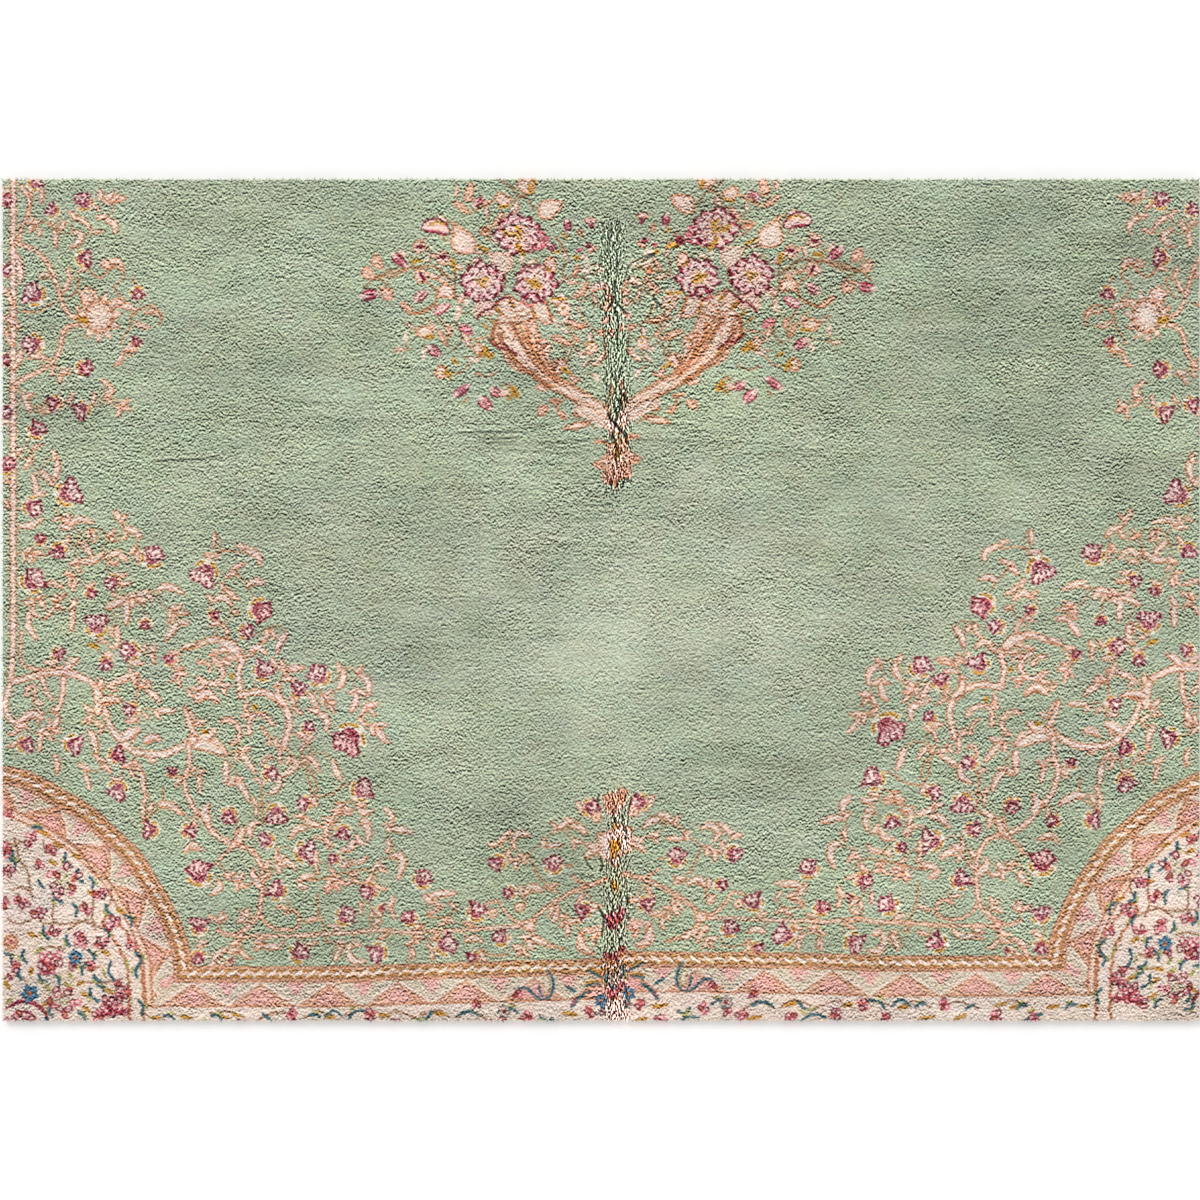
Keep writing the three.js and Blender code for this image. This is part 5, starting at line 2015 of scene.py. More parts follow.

# Breaks of the old fold, drawn as painted shade with painted light on their lips: places in (u, v) that
# each one runs through, its width and how dark its painted shade is.
FOLD_CRACKS: tuple[tuple[Path, float, float], ...] = (
    (((14, 668), (11, 660), (14, 652), (10, 644), (14, 636), (13, 628)), 0.9, 0.8),
    (((8, 665), (5, 657), (9, 650), (7, 642), (12, 634)), 0.9, 0.75),
    (((1, 670), (-2, 663), (1, 655), (-1, 648)), 0.9, 0.75),
    (((5, 662), (8, 655), (4, 648), (1, 640), (2, 632), (0, 622)), 1.0, 0.8),
    (((15, 640), (16, 632), (15, 626)), 0.8, 0.7), (((0, 636), (1, 628), (-1, 620)), 0.8, 0.7),
    (((13, 625), (12, 618)), 0.9, 0.7), (((4, 618), (2, 612), (6, 606), (10, 601)), 1.3, 0.85),
    (((2, 606), (5, 600), (9, 595)), 1.7, 0.9), (((2, 601), (-2, 596), (-8, 590)), 1.6, 0.9),
    (((5, 598), (1, 592), (0, 585), (0, 575), (1, 566)), 1.2, 0.85),
    (((-11, 617), (-14, 612), (-17, 614), (-20, 613)), 0.9, 0.85),
    (((-22, 612), (-25, 607), (-27, 608)), 0.7, 0.8),
    (((-29, 606), (-31, 601), (-34, 600), (-36, 595)), 1.1, 0.9), (((-28, 598), (-27, 592)), 0.9, 0.75),
    (((-33, 599), (-32, 593)), 1.0, 0.8), (((-25, 590), (-30, 591)), 0.8, 0.6),
    (((-5, 617), (-7, 624), (-9, 630), (-14, 634), (-22, 638), (-31, 641)), 1.0, 0.8),
    (((-10, 623), (-8, 616)), 1.4, 0.85), (((-20, 634), (-26, 637), (-32, 641)), 1.3, 0.8),
    (((-46, 645), (-50, 648), (-56, 653)), 1.4, 0.85), (((-13, 622), (-12, 629)), 0.9, 0.75),
    (((28, 589), (30, 592)), 1.8, 0.8), (((20, 588), (26, 587)), 1.4, 0.75),
    (((16, 596), (11, 593)), 1.4, 0.8), (((31, 621), (25, 623), (19, 624)), 1.1, 0.7),
    (((38, 603), (44, 606)), 1.1, 0.7), (((11, 546), (9, 540), (12, 534), (8, 529)), 1.0, 0.8),
    (((3, 539), (1, 532)), 1.2, 0.8), (((-2, 528), (-3, 520), (-1, 514)), 1.2, 0.85),
    (((-5, 524), (-7, 517)), 1.3, 0.85), (((1, 520), (-3, 516), (-1, 510), (2, 504)), 1.4, 0.9),
    (((3, 514), (1, 506)), 1.2, 0.85),
    (((9, 508), (6, 503), (3, 499), (-1, 495), (-4, 491), (-7, 488)), 1.9, 0.94),
    (((-1, 506), (2, 501), (3, 495)), 1.5, 0.9), (((4, 492), (5, 486)), 2.3, 0.95),
    (((-6, 488), (-9, 482)), 1.3, 0.85), (((3, 485), (1, 479), (0, 474)), 1.4, 0.9),
    (((9, 484), (13, 483)), 1.6, 0.85), (((8, 475), (8, 474)), 1.7, 0.9),
    (((4.5, 476), (4.5, 473)), 1.7, 0.9), (((-1, 475), (0, 473)), 1.7, 0.9),
    (((2, 472), (1, 466)), 1.4, 0.85), (((5, 453), (7, 448)), 1.4, 0.9), (((2, 453), (0, 448)), 1.2, 0.85),
    (((-6, 453), (-12, 450)), 1.3, 0.85), (((10, 445), (10, 441)), 1.2, 0.7),
    (((16, 190), (17, 182), (18, 174)), 1.1, 0.8), (((4, 184), (2, 177), (4, 170), (0, 165)), 1.1, 0.85),
    (((-6, 190), (-6, 185)), 1.0, 0.75), (((-11, 186), (-9, 178), (-8, 172)), 1.0, 0.75),
    (((15, 138), (13, 130), (15, 124)), 1.3, 0.85), (((28, 137), (25, 131), (21, 126)), 1.2, 0.8),
    (((40, 121), (34, 123), (28, 121), (20, 120)), 1.0, 0.7),
    (((-3, 166), (-6, 160), (-8, 152)), 1.1, 0.85), (((8, 151), (7, 149)), 1.4, 0.85),
    (((-2, 149), (-2, 146)), 1.4, 0.85), (((-8, 104), (-8, 97)), 1.7, 0.9),
    (((-5, 112), (-7, 118)), 1.2, 0.85), (((-7, 89), (-10, 85)), 1.5, 0.85),
    (((17, 96), (13, 88), (12, 80), (14, 72)), 1.3, 0.85), (((14, 92), (9, 84), (6, 77)), 1.2, 0.85),
    (((19, 67), (18, 65)), 1.7, 0.8), (((0, 70), (-5, 66)), 1.2, 0.8), (((1, 52), (0, 45)), 1.3, 0.85),
    (((-5, 32), (-7, 24)), 1.6, 0.85), (((3, 22), (5, 16), (8, 10)), 1.2, 0.8),
)


@dataclass
class Weaver:
    """Ties the knots: turns the cartoon into the colour of every place on the rug.

    Attributes:
        form: The rug's shape.
        middle: How far right of the rug's centre the pattern's middle line lies.
        stray: How far a knot strays from the cartoon.
        knot: Width and height of a knot.
        shift_reach: Distance over which the right half's shifts blend.
        drawing: The left half's cartoon.
        mirrored: The right half's cartoon.
    """

    form: RugForm
    middle: float = 14.2
    stray: float = 0.42
    knot: float = 0.85
    shift_reach: float = 62.0
    drawing: Cartoon = field(default_factory=Cartoon)
    mirrored: Cartoon = field(default_factory=Cartoon)

    def draw(self) -> None:
        """Draws the cartoon of both halves."""
        ground = Field()
        ground.draw(self.drawing)
        ground.draw_bouquet(self.drawing)
        Border().draw(self.drawing)
        self.mirrored = self.drawing.copy()
        for path, width, rim, core in RIGHT_BLADES:
            Leaf(path, width, rim, core, 1.2).draw(self.mirrored)

    def shift(self, u: np.ndarray, v: np.ndarray) -> tuple[np.ndarray, np.ndarray]:
        """How far the right half has drifted from the cartoon.

        Args:
            u: Distances from the middle line.
            v: Distances from the front edge.

        Returns:
            The drifts away from the middle line and upwards.
        """
        weights, across, up = 1e-9, 0.0, 0.0
        for place_u, place_v, shift_u, shift_v in RIGHT_SHIFTS:
            away = (u - place_u - shift_u) ** 2 + (v - place_v - shift_v) ** 2
            near = np.exp(-away / (2 * self.shift_reach**2))
            weights, across, up = weights + near, across + near * shift_u, up + near * shift_v
        return across / weights, up / weights

    def colour(self, x: np.ndarray, y: np.ndarray, ragged: float = 1.0) -> np.ndarray:
        """The dye at each place, as display colours.

        Args:
            x: Places across, in millimetres.
            y: Places from the middle towards the back.
            ragged: How unevenly the knots are tied, 0 for none.

        Returns:
            A colour for each place.
        """
        place_x = x + ragged * self.stray * layered(x, y, *STRAY_ACROSS)
        place_y = y + ragged * self.stray * layered(x, y, *STRAY_UP)
        row = np.floor(place_y / self.knot)
        place_y = (row + 0.5) * self.knot
        offset = 0.5 * (row % 2)
        place_x = (np.floor(place_x / self.knot + offset) + 0.5 - offset) * self.knot
        u, v = self.middle - place_x, place_y + self.form.depth / 2
        right = u < 0
        across, up = self.shift(np.abs(u[right]), v[right])
        colours = np.empty((*u.shape, 3), dtype=np.float32)
        colours[~right] = self.drawing.sample(u[~right], v[~right])
        colours[right] = self.mirrored.sample(-u[right] - across, v[right] - up)
        return colours

    def hue(self, x: np.ndarray, y: np.ndarray) -> np.ndarray:
        """How much redder, greener or bluer the dye is at each place.

        Args:
            x: Places across, in millimetres.
            y: Places from the middle towards the back.

        Returns:
            A factor for each of the three colours of each place.
        """
        faded = glow(x, y, (40.0, -10.0), (250.0, 110.0))
        rubbed = np.exp(-(((x - self.middle) / 14.0) ** 2)) * smoothstep(-y, 130.0, 190.0)
        red = layered(x, y, *RED_LAYERS) + 0.045 * faded + 0.10 * rubbed
        blue = layered(x, y, *BLUE_LAYERS) + 0.04 * faded
        return np.stack([1.0 + red, 1.0 - 0.2 * red, 1.0 + blue], axis=-1)

    def shade(self, x: np.ndarray, y: np.ndarray) -> np.ndarray:
        """How much lighter or darker the colour is: uneven dye, with painted light and shade.

        Args:
            x: Places across, in millimetres.
            y: Places from the middle towards the back.

        Returns:
            A factor for each place.
        """
        streaked = glow(x, y, (-170.0, 150.0), (220.0, 55.0))
        tone = 1.0 + layered(x, y, *TONE_LAYERS) + (0.06 + 0.08 * streaked) * layered(x, y, STREAKS)
        # Slow patches: uneven dye together with painted light and shade of the nap and of the fold's crease.
        for middle_x, middle_y, length, height, strength in DYE_AND_SHADE_PATCHES:
            tone = tone + strength * glow(x, y, (middle_x, middle_y), (length, height))
        self.paint_weft_crack_shade(tone, x, y)
        self.paint_fold_crack_shade(tone, x, y)
        return np.maximum(tone, 0.01)

    def paint_weft_crack_shade(self, tone: np.ndarray, x: np.ndarray, y: np.ndarray) -> None:
        """Paints shade into the thin breaks along the weft, and painted light on the pile just behind each.

        Args:
            tone: The colour's lightness at each place, which is changed.
            x: Places across, in millimetres.
            y: Places from the middle towards the back.
        """
        for x0, y0, x1, y1, dark in CRACKS:
            close = (np.abs(y - (y0 + y1) / 2) < 8) & (x > min(x0, x1) - 4) & (x < max(x0, x1) + 4)
            part_x, part_y = x[close], y[close]
            wander = layered(part_x, part_y, WEFT_WANDER)
            offset = part_y - y0 - (part_x - x0) * (y1 - y0) / (x1 - x0) - wander
            inside = np.clip(np.minimum(part_x - x0, x1 - part_x) / 6.0, 0.0, 1.0)
            # Painted shade in the break and a painted highlight on the ridge behind it.
            gap, lip = np.exp(-((offset / 0.95) ** 2)), np.exp(-((offset - 2.2) ** 2))
            tone[close] = tone[close] * (1.0 - dark * inside * (gap - 0.4 * lip))

    def paint_fold_crack_shade(self, tone: np.ndarray, x: np.ndarray, y: np.ndarray) -> None:
        """Paints shade into the breaks of the old fold, and painted light on the lips beside them.

        Args:
            tone: The colour's lightness at each place, which is changed.
            x: Places across, in millimetres.
            y: Places from the middle towards the back.
        """
        u, v = self.middle - x, y + self.form.depth / 2
        fold = np.abs(u - 2.0) < 64.0
        part_u, part_v, part_tone = u[fold], v[fold], tone[fold]
        for path, width, dark in FOLD_CRACKS:
            line = rounded(path, 4)
            low, high = line.min(0) - 5.0, line.max(0) + 5.0
            near = (part_u > low[0]) & (part_u < high[0]) & (part_v > low[1]) & (part_v < high[1])
            reach = measure(part_u[near], part_v[near], line)
            ends = np.clip(np.minimum(reach.along, reach.length - reach.along) / 1.5 + 0.55, 0.0, 1.0)
            # Painted shade in each break, and painted light on the lips on both sides.
            gap = np.minimum(1.35 * np.exp(-((reach.distance / (0.35 + 0.48 * width)) ** 2)), 1.04)
            lip = np.exp(-(((reach.distance - 0.9 - 1.1 * width) / 0.9) ** 2))
            part_tone[near] = part_tone[near] * (1.0 - ends * (dark * gap - 0.6 * dark * lip))
        tone[fold] = part_tone


def link_or_set(tree: Tree, socket: Socket, value: object) -> None:
    """Gives a node's input another node's output, or a plain value.

    Args:
        tree: The tree that holds the node.
        socket: The input.
        value: The output to link, or the value to set.
    """
    if isinstance(value, bpy.types.NodeSocket):
        tree.links.new(value, socket)
    else:
        socket.default_value = value


def add_math(tree: Tree, operation: str, *values: object, kind: str = "ShaderNodeMath") -> Socket:
    """Adds a node that works out a number or a vector.

    Args:
        tree: The tree.
        operation: Blender's name for the sum.
        values: Its inputs, as outputs of other nodes or plain numbers.
        kind: Blender's name for the node.

    Returns:
        The result's output.
    """
    node = tree.nodes.new(kind)
    node.operation = operation
    for socket, value in zip(node.inputs, values):
        link_or_set(tree, socket, value)
    return node.outputs[0]


def add_vectors(tree: Tree, first: Socket, second: object) -> Socket:
    """Adds a node that adds two vectors.

    Args:
        tree: The tree.
        first: One vector's output.
        second: The other's output, or three plain numbers.

    Returns:
        The sum's output.
    """
    return add_math(tree, "ADD", first, second, kind="ShaderNodeVectorMath")


def scale_vector(tree: Tree, vector: Socket, factor: Socket) -> Socket:
    """Adds a node that scales a vector or a colour.

    Args:
        tree: The tree.
        vector: The vector's output.
        factor: The factor's output.

    Returns:
        The result's output.
    """
    scaled = add_math(tree, "SCALE", vector, kind="ShaderNodeVectorMath")
    tree.links.new(factor, scaled.node.inputs["Scale"])
    return scaled


def add_ramp(tree: Tree, value: Socket, *limits: float) -> Socket:
    """Adds a node that turns one span of numbers into another.

    Args:
        tree: The tree.
        value: The number's output.
        limits: The first span's ends, then the second span's ends.

    Returns:
        The result's output.
    """
    ramp = tree.nodes.new("ShaderNodeMapRange")
    for socket, item in zip(ramp.inputs, (value, *limits)):
        link_or_set(tree, socket, item)
    return ramp.outputs[0]


def read_attribute(tree: Tree, name: str, output: str = "Fac") -> Socket:
    """Lets a material read values that the mesh carries.

    Args:
        tree: The material's tree.
        name: The attribute's name.
        output: "Fac" for a number or "Color" for a colour.

    Returns:
        The values' output.
    """
    node = tree.nodes.new("ShaderNodeAttribute")
    node.attribute_name = name
    return node.outputs[output]


def read_named_attribute(tree: Tree, name: str, kind: str = "FLOAT") -> Socket:
    """Lets a modifier's tree read values that the mesh carries.

    Args:
        tree: The modifier's tree.
        name: The attribute's name.
        kind: Blender's name for the kind of value.

    Returns:
        The values' output.
    """
    node = tree.nodes.new("GeometryNodeInputNamedAttribute")
    node.data_type = kind
    node.inputs["Name"].default_value = name
    return node.outputs["Attribute"]


def open_material(name: str, roughness: float, specular: float) -> tuple[bpy.types.Material, Tree, Node]:
    """Starts a material.

    Args:
        name: Its name.
        roughness: How dull it is, from 0 to 1.
        specular: How strongly it mirrors light, from 0 to 1.

    Returns:
        The material, its tree and its shader.
    """
    material = bpy.data.materials.new(name)
    material.use_nodes = True
    shader = material.node_tree.nodes["Principled BSDF"]
    shader.inputs["Roughness"].default_value = roughness
    shader.inputs["Specular IOR Level"].default_value = specular
    return material, material.node_tree, shader


def add_noise(tree: Tree, place: Socket, size: tuple[object, object], seed: float, detail: float,
              roughness: float) -> Socket:
    """Adds soft noise that doesn't change with height.

    Args:
        tree: The tree.
        place: The places to read it at, in metres.
        size: Size of its features across and up, in metres.
        seed: Picks the noise.
        detail: How many finer layers it has.
        roughness: How strong those are.

    Returns:
        The noise, from 0 to 1.
    """
    split = tree.nodes.new("ShaderNodeSeparateXYZ")
    join = tree.nodes.new("ShaderNodeCombineXYZ")
    noise = tree.nodes.new("ShaderNodeTexNoise")
    tree.links.new(place, split.inputs[0])
    for axis in (0, 1):
        tree.links.new(add_math(tree, "DIVIDE", split.outputs[axis], size[axis]), join.inputs[axis])
    join.inputs[2].default_value = seed
    tree.links.new(join.outputs[0], noise.inputs["Vector"])
    noise.inputs["Scale"].default_value = 1.0
    noise.inputs["Detail"].default_value = detail
    noise.inputs["Roughness"].default_value = roughness
    return noise.outputs[0]


# The clumps' height also paints shade into the wool's colour: darker in the gaps, lighter on the tips.
@dataclass(frozen=True)
class Clumps:
    """How the wool's tips have matted into small clumps, the same for the relief and for the colour.

    Attributes:
        length: Length of a clump along the weft, in metres.
        depth: Its size along the warp.
        step: Distance from a clump's top to the gap before it.
        crack_width: Width of a clump on the old fold.
        crack_length: Its length along the fold.
        crack_step: Distance from such a clump's top to the crack beside it.
        contrast: How much higher the clumps stand than the gaps.
        crack_contrast: The same on the old fold.
        unevenness: How sharply strong and weak patches part.
        patch_length: Size of those patches along the weft.
        patch_depth: Their size along the warp.
        weakest: How strongly the clumps stand out in the weak patches.
        strongest: The same in the strong ones.
        seed: Picks the noise.
    """

    length: float = 0.0017
    depth: float = 0.0018
    step: float = 0.00115
    crack_width: float = 0.0013
    crack_length: float = 0.0025
    crack_step: float = 0.0009
    contrast: float = 2.2
    crack_contrast: float = 6.0
    unevenness: float = 2.4
    patch_length: float = 0.030
    patch_depth: float = 0.020
    weakest: float = 0.6
    strongest: float = 1.5
    seed: float = 3.7

    def grow(self, tree: Tree, place: Socket, fold: Socket, rough: Socket, length: object = None,
             depth: object = None) -> Socket:
        """Adds the clumps' height to a tree.

        Args:
            tree: A tree of a material or of a modifier.
            place: The places, in metres.
            fold: How worn each place is, from 0 to 1.
            rough: How strongly the clumps stand out, 1 for an even pile.
            length: An output that gives the length, or None for the finish's own.
            depth: An output that gives the size along the warp, or None for the finish's own.

        Returns:
            The height of the clumps, about 0 in the gaps and 1 on the tips.
        """
        waves = []
        for sizes, step, seed in (
            ((length or self.length, depth or self.depth), (0.0, self.step, 0.0), self.seed),
            ((self.crack_width, self.crack_length), (self.crack_step, 0.0, 0.0), self.seed + 9.0),
        ):
            top = add_noise(tree, place, sizes, seed, 0.0, 0.5)
            beside = add_noise(tree, add_vectors(tree, place, step), sizes, seed, 0.0, 0.5)
            waves.append(add_math(tree, "SUBTRACT", top, beside))
        patches = add_noise(tree, place, (self.patch_length, self.patch_depth), self.seed + 20.0, 3.0, 0.7)
        spread = 0.5 / self.unevenness
        strength = add_ramp(tree, patches, 0.5 - spread, 0.5 + spread, self.weakest, self.strongest)
        plain = add_math(tree, "MULTIPLY", waves[0], add_math(tree, "MULTIPLY", strength, rough))
        cracked = add_math(tree, "MULTIPLY", waves[1], self.crack_contrast / self.contrast)
        half_plain = add_math(tree, "MULTIPLY", plain, 0.5)
        change = add_math(tree, "SUBTRACT", cracked, half_plain)
        wave = add_math(tree, "MULTIPLY_ADD", change, fold, plain)
        return add_math(tree, "MULTIPLY_ADD", wave, self.contrast, 0.5)


# Painted shade and light: this finish darkens the colour in the gaps between clumps and brightens it on
# their tips.
@dataclass(frozen=True)
class Wool:
    """The pile's finish: matted, dull, dyed by the attribute that the weaver made.

    Attributes:
        clumps: The clumps of wool.
        painted_tip_light: Painted light on the clumps' tips: how much their colour is brightened.
        painted_gap_shade: Painted shade in the gaps between the clumps: the brightness left there.
        painted_crack_shade: Painted shade in the cracks of the old fold: the brightness left there.
        painted_lip_light: Painted light on the lips beside those cracks: how much their colour is
            brightened.
        pale_from: Lightness of the dye above which the painted shade of the gaps starts to fade.
        pale_to: Lightness at which it has faded most.
        pale_share: How much of it has faded there.
        grain: Strength of the finest grain: random tone, and painted shade where its bump is low.
        grain_size: Size of the finest grain across and up, in metres.
        bump: Height of the finest grain in metres.
        roughness: How dull the wool is.
        specular: How strongly it mirrors light.
        sheen: How strongly its hairs catch light from the side.
    """

    clumps: Clumps = Clumps()
    painted_tip_light: float = 1.52
    painted_gap_shade: float = 0.39
    painted_crack_shade: float = 0.05
    painted_lip_light: float = 1.86
    pale_from: float = 0.46
    pale_to: float = 0.70
    pale_share: float = 0.55
    grain: float = 0.36
    grain_size: tuple[float, float] = (0.0017, 0.0010)
    bump: float = 0.0006
    roughness: float = 0.92
    specular: float = 0.12
    sheen: float = 0.06

    def make(self, name: str = "wool_pile") -> bpy.types.Material:
        """Builds the material.

        Args:
            name: Its name.

        Returns:
            The material.
        """
        material, tree, shader = open_material(name, self.roughness, self.specular)
        shader.inputs["Sheen Weight"].default_value = self.sheen
        shader.inputs["Sheen Roughness"].default_value = 0.5
        dye = read_attribute(tree, "dye", "Color")
        worn = read_attribute(tree, "fold")
        place = tree.nodes.new("ShaderNodeTexCoord").outputs["Object"]
        tips = self.clumps.grow(tree, place, worn, read_attribute(tree, "rough"))
        fine = add_noise(tree, place, self.grain_size, 17.3, 1.0, 0.6)
        # Painted shade and light: darker in the gaps, brighter on the tips, more so in the fold's cracks and
        # on their lips.
        low = add_math(tree, "MULTIPLY_ADD", worn, self.painted_crack_shade - self.painted_gap_shade, self.painted_gap_shade)
        high = add_math(tree, "MULTIPLY_ADD", worn, self.painted_lip_light - self.painted_tip_light, self.painted_tip_light)
        span = add_math(tree, "SUBTRACT", high, low)
        deep = add_math(tree, "MULTIPLY_ADD", tips, span, low)
        # On pale dye the painted shade of the gaps fades.
        light = tree.nodes.new("ShaderNodeRGBToBW")
        tree.links.new(dye, light.inputs[0])
        pale = add_ramp(tree, light.outputs[0], self.pale_from, self.pale_to, 0.0, self.pale_share)
        soft = add_math(tree, "MULTIPLY", pale, add_math(tree, "SUBTRACT", 1.0, worn))
        flat = add_math(tree, "SUBTRACT", 0.5 * (self.painted_tip_light + self.painted_gap_shade), deep)
        shade = add_math(tree, "MULTIPLY_ADD", flat, soft, deep)
        # The finest grain is random tone, and painted shade where its bump is low.
        grain = add_math(tree, "MULTIPLY_ADD", fine, 2 * self.grain, 1.0 - self.grain)
        tone = add_math(tree, "MULTIPLY", shade, grain)
        tree.links.new(scale_vector(tree, dye, tone), shader.inputs["Base Color"])
        bump = tree.nodes.new("ShaderNodeBump")
        bump.inputs["Distance"].default_value = self.bump
        bump.inputs["Strength"].default_value = 0.8
        tree.links.new(add_math(tree, "ADD", tips, fine), bump.inputs["Height"])
        tree.links.new(bump.outputs[0], shader.inputs["Normal"])
        return material


@dataclass(frozen=True)
class Cotton:
    """The finish of the foundation's back: flat, fine and dull, with the knots' colours.

    Attributes:
        roughness: How dull it is.
        specular: How strongly it mirrors light.
        row_size: Size of its light and dark rows across and up, in metres.
    """

    roughness: float = 0.95
    specular: float = 0.1
    row_size: tuple[float, float] = (0.004, 0.0012)

    def make(self, name: str = "knotted_back") -> bpy.types.Material:
        """Builds the material.

        Args:
            name: Its name.

        Returns:
            The material.
        """
        material, tree, shader = open_material(name, self.roughness, self.specular)
        place = tree.nodes.new("ShaderNodeTexCoord").outputs["Object"]
        rows = add_noise(tree, place, self.row_size, 5.1, 1.0, 0.5)
        tone = add_math(tree, "MULTIPLY_ADD", rows, 0.5, 0.75)
        dye = read_attribute(tree, "dye", "Color")
        tree.links.new(scale_vector(tree, dye, tone), shader.inputs["Base Color"])
        return material


@dataclass(frozen=True)
class PlainPaint:
    """A dull even finish of one colour.

    Attributes:
        colour: Its colour as light.
        roughness: How dull it is.
        specular: How strongly it mirrors light.
    """

    colour: tuple[float, float, float]
    roughness: float = 0.9
    specular: float = 0.1

    def make(self, name: str) -> bpy.types.Material:
        """Builds the material.

        Args:
            name: Its name.

        Returns:
            The material.
        """
        material, _, shader = open_material(name, self.roughness, self.specular)
        shader.inputs["Base Color"].default_value = (*self.colour, 1.0)
        return material


def build_mesh(name: str, places: np.ndarray, triangles: np.ndarray,
               caps: Sequence[np.ndarray] = ()) -> bpy.types.Mesh:
    """Makes a mesh of many triangles and a few plain caps.

    Args:
        name: Its name.
        places: The vertices in millimetres, one row each.
        triangles: Three vertex numbers for each triangle.
        caps: The vertex numbers round each cap.

    Returns:
        The mesh.
    """
    mesh = bpy.data.meshes.new(name)
    corners = np.concatenate([triangles.ravel(), *caps]).astype(np.int32)
    starts = [3 * len(triangles)]
    for cap in caps[:-1]:
        starts.append(starts[-1] + len(cap))
    first = np.concatenate([np.arange(0, 3 * len(triangles), 3), starts[: len(caps)]]).astype(np.int32)
    mesh.vertices.add(len(places))
    mesh.loops.add(len(corners))
    mesh.polygons.add(len(first))
    mesh.vertices.foreach_set("co", (places * MM).astype(np.float32).ravel())
    mesh.loops.foreach_set("vertex_index", corners)
    mesh.polygons.foreach_set("loop_start", first)
    flat = np.zeros(len(first), dtype=bool)
    flat[len(triangles):] = True
    mesh.attributes.new("sharp_face", "BOOLEAN", "FACE").data.foreach_set("value", flat)
    mesh.update(calc_edges=True)
    mesh.validate()
    return mesh


def store(mesh: bpy.types.Mesh, name: str, kind: str, domain: str, values: np.ndarray) -> None:
    """Keeps a row of values on a mesh.

    Args:
        mesh: The mesh.
        name: The attribute's name.
        kind: Blender's name for the kind of value.
        domain: What each value belongs to.
        values: The values.
    """
    key = {"FLOAT_COLOR": "color", "FLOAT_VECTOR": "vector"}.get(kind, "value")
    attribute = mesh.attributes.new(name, kind, domain)
    attribute.data.foreach_set(key, values.astype(np.float32).ravel())


def store_dye(mesh: bpy.types.Mesh, colours: np.ndarray) -> None:
    """Keeps a colour for every corner of a mesh.

    Args:
        mesh: The mesh.
        colours: The colours as light, one row each.
    """
    opaque = np.ones((len(colours), 1))
    store(mesh, "dye", "FLOAT_COLOR", "CORNER", np.concatenate([colours, opaque], -1))


def squares(first: Sequence[np.ndarray], second: Sequence[np.ndarray]) -> np.ndarray:
    """Splits a grid's squares into triangles.

    Args:
        first: The three corner numbers of each square's first triangle.
        second: Those of its second triangle.

    Returns:
        The corner numbers, two triangles for each square.
    """
    return np.stack([np.stack(first, -1), np.stack(second, -1)], -2)


def put_in_scene(name: str, data: bpy.types.ID) -> Shape:
    """Puts new data into the scene, with its origin at the scene's.

    Args:
        name: The object's name.
        data: A mesh, a light or a camera.

    Returns:
        The object.
    """
    shape = bpy.data.objects.new(name, data)
    bpy.context.scene.collection.objects.link(shape)
    return shape


def plain_copy(shape: Shape, name: str) -> Shape:
    """Turns an object with a modifier into a plain one.

    Args:
        shape: The object, which goes.
        name: The plain object's name.

    Returns:
        The plain object.
    """
    evaluated = shape.evaluated_get(bpy.context.evaluated_depsgraph_get())
    mesh = bpy.data.meshes.new_from_object(evaluated)
    mesh.name = name
    first = shape.data
    bpy.data.objects.remove(shape)
    bpy.data.meshes.remove(first)
    return put_in_scene(name, mesh)


class TreeInput(NamedTuple):
    """A named input of a modifier's tree, and the value that it gets."""

    name: str
    kind: str
    value: object


def open_tree(name: str, inputs: Sequence[TreeInput]) -> tuple[Tree, Node, Node]:
    """Starts a tree of Geometry Nodes.

    Args:
        name: Its name.
        inputs: Its inputs beside the geometry.

    Returns:
        The tree, its input node and its output node.
    """
    tree = bpy.data.node_groups.new(name, "GeometryNodeTree")
    tree.interface.new_socket("Geometry", in_out="INPUT", socket_type="NodeSocketGeometry")
    for entry in inputs:
        tree.interface.new_socket(entry.name, in_out="INPUT", socket_type=entry.kind)
    tree.interface.new_socket("Geometry", in_out="OUTPUT", socket_type="NodeSocketGeometry")
    return tree, tree.nodes.new("NodeGroupInput"), tree.nodes.new("NodeGroupOutput")


def apply_tree(shape: Shape, tree: Tree, inputs: Sequence[TreeInput]) -> None:
    """Puts a tree on an object and sets its inputs.

    Args:
        shape: The object.
        tree: The tree.
        inputs: The values by the inputs' names.
    """
    modifier = shape.modifiers.new(tree.name, "NODES")
    modifier.node_group = tree
    sockets = {item.name: item.identifier for item in tree.interface.items_tree if item.in_out == "INPUT"}
    for entry in inputs:
        modifier[sockets[entry.name]] = entry.value


def close_tree(tree: Tree, geometry: Socket, wool: Socket, output: Node) -> None:
    """Ends a tree: makes its instances real and gives them their finish.

    Args:
        tree: The tree.
        geometry: What it made.
        wool: The input that holds the finish.
        output: The tree's output node.
    """
    real = tree.nodes.new("GeometryNodeRealizeInstances")
    dress = tree.nodes.new("GeometryNodeSetMaterial")
    tree.links.new(geometry, real.inputs[0])
    tree.links.new(real.outputs[0], dress.inputs["Geometry"])
    tree.links.new(wool, dress.inputs["Material"])
    tree.links.new(dress.outputs[0], output.inputs[0])


class Rim(NamedTuple):
    """A step of the pile's rounded edge, from the bottom up.

    Attributes:
        inset: How far inside the rug's outline it lies.
        base: Its height, or its drop below the surface where the surface carries it.
        carried: Share of the surface's own height that is added.
        out: How much of the wool's relief pushes sideways there.
        up: How much of it pushes upwards.
    """

    inset: float
    base: float
    carried: float
    out: float
    up: float


